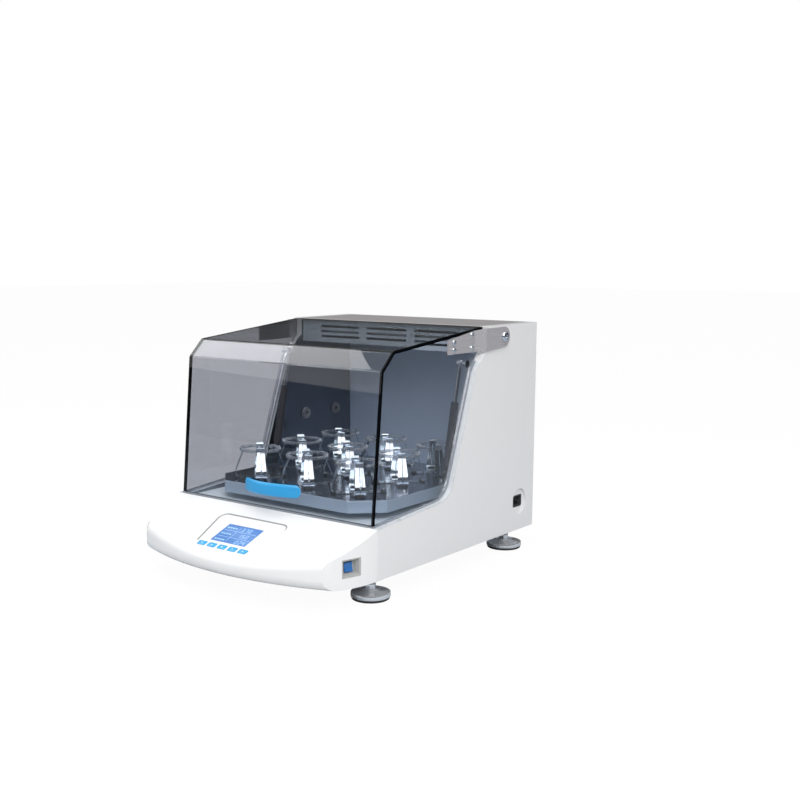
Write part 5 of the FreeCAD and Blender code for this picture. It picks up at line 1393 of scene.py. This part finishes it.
@dataclass
class FlaskClamps:
    """Nine clamps of four sprung fingers in three rows, each with a coil spring round its neck.

    Places and the finger are in millimetres, springs and pads in metres.
    """

    columns: tuple[int, ...] = (-1, 0, 1)
    rows: tuple[tuple[str, int], ...] = (("front", -1), ("middle", 0), ("rear", 1))
    pitch: float = 106.0
    middle_back: float = 196.0
    tray_top: float = 27.0
    fingers: int = 4
    sheet: float = 1.2
    path: tuple[tuple[float, float], ...] = (
        (14.0, 0.6), (26.0, 0.6), (33.0, 0.7), (38.0, 2.0), (41.2, 5.0), (42.1, 9.5), (41.4, 15.0),
        (38.6, 22.5), (35.2, 31.0), (32.0, 39.0), (29.6, 45.5), (28.6, 49.5), (29.2, 52.2), (31.0, 54.0))
    smoothing: int = 3
    foot_half: float = 9.5
    taper: float = 3.6
    taper_start: float = 2.0
    taper_run: float = 46.0
    slot_low: float = 3.5
    slot_high: float = 45.0
    slot_inner: float = 25.0
    slot_share: float = 0.09
    ring_rise: float = 75.5
    ring_radius: float = 0.0325
    coil_radius: float = 0.0024
    wire_radius: float = 0.00055
    coil_turns: int = 72
    turn_steps: int = 9
    pad_size: tuple[float, float, float] = (0.009, 0.015, 0.0032)
    pad_reach: float = 0.0385
    pad_round: float = 0.0015
    pad_soft: float = 0.0006

    def build(self) -> None:
        """Make the clamps and their springs."""
        for name, row in self.rows:
            centres = [self.spot(column, row, self.tray_top) for column in self.columns]
            fingers = self.all_round(self.finger(), centres, CLAMP_STEEL, "clamp_fingers_" + name)
            Piece("clamp_fingers_" + name, "platform", "polished_steel", (CLAMP_STEEL,),
                  ("flask_clamps_" + name,)).settle(fingers)
            pads = self.all_round(self.pad(), centres, BLACK_RUBBER, "clamp_pads_" + name)
            Piece("clamp_pads_" + name, "platform", "black_rubber", (BLACK_RUBBER,)).settle(pads)
        necks = [self.spot(column, row, self.ring_rise) for column in self.columns for _, row in self.rows]
        springs = coil_ring(seed_points(necks), BRIGHT_STEEL, "spring_rings", self.ring_radius,
                            self.coil_radius, self.wire_radius, self.coil_turns, self.turn_steps)
        Piece("spring_rings", "platform", "spring_wire", (BRIGHT_STEEL,), ("clamp_springs",),
              crease=80.0).settle(springs)

    def spot(self, column: int, row: int, up: float) -> Vector:
        """Find a point on a clamp's axis.

        Args:
            column: -1, 0 or 1 from left to right.
            row: -1, 0 or 1 from front to rear.
            up: Height over the datum.

        Returns:
            The point in the frame.
        """
        return from_datum(self.pitch * column, self.middle_back + self.pitch * row, up)

    def all_round(self, pattern: bpy.types.Mesh, centres: list[Vector], finish: Finish,
                  name: str) -> bpy.types.Mesh:
        """Repeat a part of a finger round the axis of each clamp.

        Args:
            pattern: The part, drawn about the axis.
            centres: Foot of each axis.
            finish: Finish of the part.
            name: Name of the result.

        Returns:
            The plain mesh.
        """
        return sown(pattern, seed_points(centres), finish, name, turns=self.fingers, lead=math.pi / 4)

    def half_width(self, height: float) -> float:
        """Measure a finger, which tapers towards its lip.

        Args:
            height: Height over the tray.

        Returns:
            Half the width there.
        """
        if height < self.taper_start:
            return self.foot_half
        return self.foot_half - self.taper * min(1.0, (height - self.taper_start) / self.taper_run)

    def centre_line(self) -> list[Vector]:
        """Smooth the path of a finger.

        Returns:
            Points midway through the strip.
        """
        points = [Vector((radius, 0.0, height)) for radius, height in self.path]
        fine = []
        for index in range(len(points) - 1):
            before = points[max(index - 1, 0)]
            after = points[min(index + 2, len(points) - 1)]
            for step in range(self.smoothing):
                fine.append(catmull(before, points[index], points[index + 1], after, step / self.smoothing))
        fine.append(points[-1])
        return fine

    def finger(self) -> bpy.types.Mesh:
        """Bend one finger: two prongs of strip that join at the foot and the lip.

        Returns:
            The mesh in metres, about the axis of its clamp.
        """
        line = self.centre_line()
        last = len(line) - 1
        shell = Shell()
        lanes = ((-1.0, -self.slot_share), (-self.slot_share, self.slot_share), (self.slot_share, 1.0))
        for number, (start, stop) in enumerate(lanes):
            run: list[list[Vector]] = []
            for index, point in enumerate(line):
                slotted = self.slot_low < point.z < self.slot_high and point.x > self.slot_inner
                if number == 1 and slotted:
                    self.strip(shell, run)
                    run = []
                    continue
                course = (line[min(index + 1, last)] - line[max(index - 1, 0)]).normalized()
                square = Vector((-course.z, 0.0, course.x)) * (self.sheet / 2)
                half = self.half_width(point.z)
                near, far = Vector((0.0, half * start, 0.0)), Vector((0.0, half * stop, 0.0))
                inner, outer = point - square, point + square
                run.append([inner + near, inner + far, outer + far, outer + near])
            self.strip(shell, run)
        for vertex in shell.bm.verts:
            vertex.co /= 1000.0
        bmesh.ops.recalc_face_normals(shell.bm, faces=shell.bm.faces)
        return shell.mesh("finger")

    @staticmethod
    def strip(shell: Shell, run: list[list[Vector]]) -> None:
        """Skin a run of sections if there are enough of them."""
        if len(run) > 1:
            shell.rings(run)

    def pad(self) -> bpy.types.Mesh:
        """Cut the rubber pad that lies under the bend of a finger.

        Returns:
            The mesh, about the axis of its clamp.
        """
        wide, deep, high = self.pad_size
        shell = Shell()
        shell.slab(rounded_box_outline(wide, deep, (self.pad_round,) * 4, 3), 0.0, high,
                   Matrix.Translation((self.pad_reach, 0.0, 0.0)), crown=self.pad_soft, inset=self.pad_soft)
        shell.outward()
        return shell.mesh("pad")


def catmull(before: Vector, start: Vector, stop: Vector, after: Vector, share: float) -> Vector:
    """Follow the smooth curve through four points.

    Args:
        before: Point ahead of the start.
        start: Where the stretch begins.
        stop: Where it ends.
        after: Point past the end.
        share: How far along the stretch, from 0 to 1.

    Returns:
        The point on the curve.
    """
    square, cube = share * share, share * share * share
    return (start * 2 + (stop - before) * share + (before * 2 - start * 5 + stop * 4 - after) * square
            + (start * 3 - before - stop * 3 + after) * cube) / 2


@dataclass
class LevellingFeet:
    """Chromed dish on a rubber sole, hexagon and threaded stem, four times, in millimetres."""

    across: float = 190.0
    backs: tuple[tuple[str, float], ...] = (("front", 15.0), ("rear", 400.0))
    ground: float = -113.0
    sole: tuple[tuple[float, float], ...] = (
        (0.0, 0.0), (28.2, 0.0), (29.0, 0.6), (29.6, 2.4), (29.6, 4.2), (0.0, 4.2))
    dish: tuple[tuple[float, float], ...] = (
        (0.0, 4.2), (30.2, 4.2), (30.5, 4.6), (30.5, 10.2), (30.2, 11.0), (29.4, 11.3), (28.4, 11.1),
        (26.5, 11.4), (20.0, 12.4), (13.0, 13.6), (11.4, 14.4), (10.8, 15.2), (9.6, 15.6), (0.0, 15.6))
    dish_steps: int = 72
    hexagon: float = 8.5
    nut_low: float = 15.5
    nut_high: float = 24.5
    nut_soft: float = 0.8
    stem: tuple[tuple[float, float], ...] = ((0.0, 15.6), (4.7, 15.6), (4.7, 51.5), (4.0, 52.0), (0.0, 52.0))
    stem_steps: int = 32
    thread_low: float = 25.5
    thread_long: float = 25.5
    thread_radius: float = 4.6
    ridge: float = 0.4
    thread_pitch: float = 1.25

    def build(self) -> None:
        """Make the feet, each on its own body."""
        for end, back in self.backs:
            for side, name in zip(SIDES, (end + "_left", end + "_right")):
                matrix = Matrix.Translation(from_datum(self.across * side, back, self.ground))
                self.foot(name, matrix)
                self.thread(name, matrix)

    def foot(self, name: str, matrix: Matrix) -> None:
        """Make a dish with its sole, hexagon and stem.

        Args:
            name: Which foot it is.
            matrix: Its place on the ground.
        """
        shell = Shell()
        shell.lathe(in_metres(self.dish), self.dish_steps, 0, matrix)
        nut = [(self.hexagon * math.cos(turn * math.pi / 3), self.hexagon * math.sin(turn * math.pi / 3))
               for turn in range(6)]
        soft = self.nut_soft / 1000
        shell.slab(in_metres(nut), self.nut_low / 1000, self.nut_high / 1000, matrix, crown=soft, inset=soft)
        shell.lathe(in_metres(self.stem), self.stem_steps, 0, matrix)
        shell.lathe(in_metres(self.sole), self.dish_steps, 1, matrix)
        shell.outward()
        Piece("levelling_foot_" + name, name + "_foot", "polished_steel", (FOOT_CHROME, BLACK_RUBBER),
              ("foot_" + name,)).wrap(shell)

    def thread(self, name: str, matrix: Matrix) -> None:
        """Make the thread of a stem.

        Args:
            name: Which foot it is on.
            matrix: The foot's place on the ground.
        """
        start = matrix @ Vector((0.0, 0.0, self.thread_low / 1000))
        thread = helix_thread(seed_points([start]), BRIGHT_STEEL, "foot_thread_" + name,
                              self.thread_radius / 1000, self.ridge / 1000, self.thread_pitch / 1000,
                              self.thread_long / 1000)
        Piece("foot_thread_" + name, name + "_foot", "polished_steel", (BRIGHT_STEEL,),
              crease=70.0).settle(thread)


@dataclass
class Fasteners:
    """Button-head screws with a hexagon socket, the large lid pivots and the struts' studs.

    Places are in millimetres from the datum, on the right side. A screw has the radius and the height of
    its head and half the width of its socket, in metres.
    """

    lid_spots: tuple[tuple[float, float, float], ...] = (
        (208.0, 207.0, 251.75), (208.0, 207.0, 263.5), (208.0, 258.0, 251.75), (208.0, 258.0, 273.0))
    lid_screw: tuple[float, float, float] = (0.0045, 0.0024, 0.0013)
    lid_stud: tuple[float, float, float] = (200.0, 254.0, 226.0)
    lid_stud_reach: float = 0.0095
    pivot: tuple[float, float, float] = (218.8, 343.6, 266.0)
    pivot_screw: tuple[float, float, float] = (0.009, 0.004, 0.003)
    pin_start: float = 198.5
    pin_radius: float = 0.004
    pin_soft: float = 0.0006
    wall_stud: tuple[float, float, float] = (195.8, 216.0, 48.0)
    wall_stud_reach: float = 0.0123
    stud: tuple[tuple[float, float], ...] = (
        (0.0, 0.0), (0.006, 0.0), (0.006, 0.0016), (0.0045, 0.0022), (0.003, 0.003))
    back_across: tuple[float, ...] = (-185.0, 0.0, 185.0)
    back_up: tuple[float, ...] = (-70.0, 100.0, 275.0)
    back_face: float = 456.0
    back_screw: tuple[float, float, float] = (0.0034, 0.0012, 0.0012)
    dome: tuple[tuple[float, float], ...] = ((1.0, 0.0), (1.0, 0.25), (0.93, 0.62), (0.78, 0.88), (0.6, 1.0))
    socket_floor: float = 0.35
    head_steps: int = 36
    pin_steps: int = 28

    def build(self) -> None:
        """Make the screws."""
        self.lid_screws()
        self.pivots()
        self.back_screws()

    def lid_screws(self) -> None:
        """Small screws of the hinge arms and the lid's strut studs."""
        heads = sown(self.screw(*self.lid_screw), self.on_flanks(self.lid_spots), BRIGHT_STEEL,
                     "lid_screw_heads")
        shell = Shell()
        shell.bm.from_mesh(heads)
        self.studs(shell, self.lid_stud, self.lid_stud_reach)
        Piece("lid_screws", "lid", "polished_steel", (BRIGHT_STEEL,), ("lid_fasteners",)).wrap(shell)

    def pivots(self) -> None:
        """Large pivot screws with their pins, and the wall's strut studs."""
        caps = sown(self.screw(*self.pivot_screw), self.on_flanks((self.pivot,)), BRIGHT_STEEL, "pivot_caps")
        shell = Shell()
        shell.bm.from_mesh(caps)
        face, back, up = self.pivot
        long = (face - self.pin_start) / 1000.0
        pin = [(0.0, 0.0), (self.pin_radius - self.pin_soft, 0.0), (self.pin_radius, self.pin_soft),
               (self.pin_radius, long), (0.0, long)]
        for side in SIDES:
            turn = Matrix.Rotation(side * math.pi / 2, 4, "Y")
            matrix = Matrix.Translation(from_datum(self.pin_start * side, back, up)) @ turn
            shell.lathe(pin, self.pin_steps, 0, matrix)
        self.studs(shell, self.wall_stud, self.wall_stud_reach)
        Piece("pivot_pins", CASING, "polished_steel", (BRIGHT_STEEL,), ("cabinet_pivots",)).wrap(shell)

    def back_screws(self) -> None:
        """Flat screws of the back panel, let in flush."""
        sunk = Vector((0.0, self.back_screw[1], 0.0))
        spots = [from_datum(across, self.back_face, up) - sunk
                 for across in self.back_across for up in self.back_up]
        aims = [Vector((0.0, 1.0, 0.0))] * len(spots)
        flat = sown(self.screw(*self.back_screw), seed_points(spots, aims), BRIGHT_STEEL, "back_screws")
        Piece("back_screws", CASING, "polished_steel", (BRIGHT_STEEL,)).settle(flat)

    @staticmethod
    def on_flanks(places: tuple[tuple[float, float, float], ...]) -> bpy.types.Mesh:
        """Lay out seed points on both flanks, facing outwards.

        Args:
            places: Those of the right flank.

        Returns:
            The seed points, first those of the left flank.
        """
        spots = [from_datum(across * side, back, up) for side in SIDES for across, back, up in places]
        aims = [Vector((side, 0.0, 0.0)) for side in SIDES for _ in places]
        return seed_points(spots, aims)

    def studs(self, shell: Shell, spot: tuple[float, float, float], reach: float) -> None:
        """Flanged studs for the struts, one on each side.

        Args:
            shell: Mesh that they go into.
            spot: Foot of the right one, from the datum.
            reach: How far they stand off their wall.
        """
        across, back, up = spot
        profile = [*self.stud, (self.stud[-1][0], reach), (0.0, reach)]
        for side in SIDES:
            turn = Matrix.Rotation(-side * math.pi / 2, 4, "Y")
            matrix = Matrix.Translation(from_datum(across * side, back, up)) @ turn
            shell.lathe(profile, self.pin_steps, 0, matrix)
        shell.outward()

    def screw(self, radius: float, high: float, socket: float) -> bpy.types.Mesh:
        """Domed head with a hexagon socket.

        Args:
            radius: Radius of the head.
            high: Height of the head.
            socket: Half the width of the socket.

        Returns:
            The mesh, on the XY plane about the origin.
        """
        steps = self.head_steps
        turns = [2 * math.pi * step / steps for step in range(steps)]
        leans = [(step / steps * 6.0) % 1.0 * math.pi / 3 - math.pi / 6 for step in range(steps)]
        rows = [[on_circle(radius * share, turn, up * high) for turn in turns] for share, up in self.dome]
        for height in (high, high * self.socket_floor):
            rows.append([on_circle(socket / math.cos(lean), turn, height)
                         for lean, turn in zip(leans, turns)])
        shell = Shell()
        shell.rings(rows)
        shell.outward()
        return shell.mesh("screw")


@dataclass
class Casing:
    """Folded sheet pieces with their edges rounded off: side covers, console, tub and tray.

    An edge is the width of its rounding in metres. The slopes are least parts of a face's normal.
    """

    cover_edge: float = 0.0009
    tub_edge: float = 0.0005
    tray_edge: float = 0.0012
    floor_top: float = 0.130
    floor_slope: float = 0.5
    back_wall: float = 0.2
    back_slope: float = 0.9
    tray_slope: float = 0.8

    def build(self) -> None:
        """Make the rounded copies."""
        for side in ("left", "right"):
            node = "side_cover_" + side
            cover = Piece("cabinet_side_" + side, CASING, "white_paint", (WHITE_CASING,), (node,))
            softened(cover, node, self.cover_edge)
        console = Piece("console_shell", CASING, "white_plastic", (WHITE_CONSOLE,), ("console_cover",))
        softened(console, "console_cover", 0.0)
        # The tub's faces take painted light and shade by the way they face.
        tub = Piece("chamber_tub", CASING, "stainless", (LINER_STEEL_PAINTED_SHADE, FLOOR_STEEL_PAINTED_LIGHT, BACK_STEEL_PAINTED_LIGHT),
                    ("chamber_liner",))
        softened(tub, "chamber_liner", self.tub_edge, choice=self.tub_finish_and_painted_light)
        # The tray's top and skirt take painted shade and painted light by the way they face.
        tray = Piece("platform_plate", "platform", "stainless", (TRAY_STEEL_PAINTED_SHADE, SKIRT_STEEL_PAINTED_LIGHT),
                     ("platform_tray",))
        softened(tray, "platform_tray", self.tray_edge, choice=self.tray_finish_and_painted_light)

    def tub_finish_and_painted_light(self, face: bpy.types.MeshPolygon) -> int:
        """Choose the finish of a face of the tub, with its painted light and shade.

        Args:
            face: The face.

        Returns:
            1 for the floor and sill, near white as painted light, 2 for the satin back, pale blue as painted
            light, and 0 for the polished sides, darker than real steel as painted shade.
        """
        if face.center.z < self.floor_top and face.normal.z > self.floor_slope:
            return 1
        return 2 if face.normal.y < -self.back_slope and face.center.y > self.back_wall else 0

    def tray_finish_and_painted_light(self, face: bpy.types.MeshPolygon) -> int:
        """Choose the polished finish, 0, for the tray's top, darkened as painted shade, and the satin one, 1,
        for its skirt, lightened as painted light.
        """
        return int(face.normal.z < self.tray_slope)


@dataclass
class StrutStages:
    """Middle stage of each gas strut, in millimetres.

    reach is in metres; it sets two points that are handed to settle, which leaves the stage on no body and
    uses neither point.
    """

    across: float = 186.0
    low: tuple[float, float] = (216.0, 48.0)
    high: tuple[float, float] = (254.0, 226.0)
    section: tuple[tuple[float, float], ...] = (
        (0.0, 22.0), (4.2, 22.0), (4.6, 22.6), (4.6, 111.0), (5.2, 111.8), (5.2, 115.6), (4.6, 116.4),
        (0.0, 116.4))
    steps: int = 40
    reach: float = 10.0

    def build(self) -> None:
        """Make both stages, which stay on no body."""
        for side, name in zip(SIDES, ("left", "right")):
            foot = from_datum(self.across * side, *self.low)
            course = from_datum(self.across * side, *self.high) - foot
            matrix = Matrix.Translation(foot) @ course.to_track_quat("Z", "Y").to_matrix().to_4x4()
            shell = Shell()
            shell.lathe(in_metres(self.section), self.steps, 0, matrix)
            shell.outward()
            piece = Piece("strut_stage_" + name, name + "_tube", "black_paint", (BLACK_PAINT,),
                          crease=28.0)
            across = Vector((self.reach, 0.0, 0.0))
            piece.wrap(shell, (name + "_rod", foot - across, foot + across))


# Studio


@dataclass(frozen=True)
class Lamp:
    """Soft rectangular lamp that the camera doesn't see, with its size in metres and its power in watts."""

    name: str
    spot: tuple[float, float, float]
    aim: tuple[float, float, float]
    size: tuple[float, float]
    power: float

    def hang(self) -> None:
        """Put the lamp in its place and turn it to its aim."""
        data = bpy.data.lights.new(self.name, "AREA")
        data.shape = "RECTANGLE"
        data.size, data.size_y = self.size
        data.energy = self.power
        lamp = bpy.data.objects.new(self.name, data)
        lamp.location = self.spot
        lamp.rotation_euler = (Vector(self.aim) - Vector(self.spot)).to_track_quat("-Z", "Y").to_euler()
        lamp.visible_camera = False
        bpy.context.scene.collection.objects.link(lamp)


LAMPS = (
    Lamp("overhead_softbox", (0.15, -0.1, 2.6), (0.0, 0.0, 0.2), (2.0, 2.4), 30.0),
    Lamp("left_overhead_panel", (-2.6, -0.3, 2.5), (0.0, 0.0, 0.3), (1.1, 1.7), 16.0),
    Lamp("front_left_softbox", (-2.2, -2.7, 1.65), (0.0, -0.1, 0.35), (3.2, 2.3), 19.0),
    Lamp("front_right_panel", (1.41, -1.12, 1.62), (0.0, 0.0, 0.25), (1.2, 1.3), 23.0),
)


@dataclass
class Studio:
    """Camera, lamps, pale floor and white background."""

    eye: tuple[float, float, float] = (1.1994, -1.4330, 0.5166)
    azimuth: float = 38.17
    pitch: float = 9.488
    focal_pixels: float = 1116.25
    frame_pixels: float = 800.0
    centre: tuple[float, float] = (370.0, 440.0)
    sensor: float = 36.0
    floor_reach: float = 14.0
    floor_white: float = 1.03
    floor_share: float = 0.93

    def build(self) -> None:
        """Set up the camera, world, lamps and floor."""
        scene = bpy.context.scene
        scene.view_settings.view_transform = "Standard"
        self.camera(scene)
        self.world(scene)
        self.floor()
        for lamp in LAMPS:
            lamp.hang()

    def camera(self, scene: bpy.types.Scene) -> None:
        """Put the camera at the photograph's angle.

        Args:
            scene: The scene that it belongs to.
        """
        data = bpy.data.cameras.new("camera")
        data.sensor_width = self.sensor
        data.lens = self.focal_pixels / self.frame_pixels * data.sensor_width
        data.shift_x = (self.frame_pixels / 2 - self.centre[0]) / self.frame_pixels
        data.shift_y = (self.centre[1] - self.frame_pixels / 2) / self.frame_pixels
        data.clip_start, data.clip_end = 0.05, 60.0
        camera = bpy.data.objects.new("camera", data)
        camera.location = self.eye
        camera.rotation_euler = (math.radians(90.0 - self.pitch), 0.0, math.radians(self.azimuth))
        scene.collection.objects.link(camera)
        scene.camera = camera

    def world(self, scene: bpy.types.Scene) -> None:
        """Make a background, white to the camera and through the lid, a studio's gradient in gloss.

        Args:
            scene: The scene that it belongs to.
        """
        world = bpy.data.worlds.new("studio")
        world.use_nodes = True
        bench = Bench(world.node_tree)
        direction = bench.add("ShaderNodeTexCoord")
        parts = bench.add("ShaderNodeSeparateXYZ", Vector=direction.outputs["Generated"])
        ramp = bench.add("ShaderNodeMapRange", {"interpolation_type": "SMOOTHSTEP"}, Value=parts.outputs["Z"],
                         From_Min=0.28, From_Max=0.62, To_Min=0.06, To_Max=0.6)
        gloss = bench.add("ShaderNodeBackground", Color=(0.93, 0.97, 1.0, 1.0), Strength=ramp.outputs[0])
        plain = bench.add("ShaderNodeBackground", Color=(1.0, 1.0, 1.0, 1.0), Strength=0.6)
        white = bench.add("ShaderNodeBackground", Color=(1.0, 1.0, 1.0, 1.0), Strength=1.0)
        lit = bench.mixed(bench.mirrored(), plain, gloss)
        out = bench.add("ShaderNodeOutputWorld")
        bench.link(bench.mixed(bench.in_sight(), lit, white).outputs[0], out.inputs["Surface"])
        scene.world = world

    def floor(self) -> None:
        """Pale floor that keeps a soft shadow and is white to the camera."""
        mesh = bpy.data.meshes.new("studio_floor")
        reach = self.floor_reach
        corners = [(-reach, -reach, 0.0), (reach, -reach, 0.0), (reach, reach, 0.0), (-reach, reach, 0.0)]
        mesh.from_pydata(corners, [], [(0, 1, 2, 3)])
        floor = bpy.data.objects.new("studio_floor", mesh)
        bpy.context.scene.collection.objects.link(floor)
        made = Recipe("pale_floor")
        tone = made.blend(made.grain(2.0, detail=2.0), (0.56, 0.56, 0.56), (0.60, 0.60, 0.60))
        made.surface(Base_Color=tone, Roughness=0.7)
        dim = made.add("ShaderNodeBsdfDiffuse", Color=(0.38, 0.43, 0.50, 1.0))
        plain = made.mixed(made.mirrored(), made.shader, dim)
        white = made.add("ShaderNodeEmission", Color=(1.0, 1.0, 1.0, 1.0), Strength=self.floor_white)
        share = made.sum("MULTIPLY", made.in_sight(), self.floor_share)
        made.link(made.mixed(share, plain, white).outputs[0], made.output.inputs["Surface"])
        mesh.materials.append(made.material)


def main() -> None:
    """Dress the incubator and set up the studio."""
    logging.basicConfig(level=logging.INFO, format="%(message)s")
    dress_carried_over()
    assemblies = (Casing(), ClearLid(), ControlPanel(), FlaskClamps(), LevellingFeet(), Fasteners(),
                  StrutStages())
    for assembly in assemblies:
        assembly.build()
        LOG.info("%s is built", type(assembly).__name__)
    Studio().build()


if __name__ == "__main__":
    main()
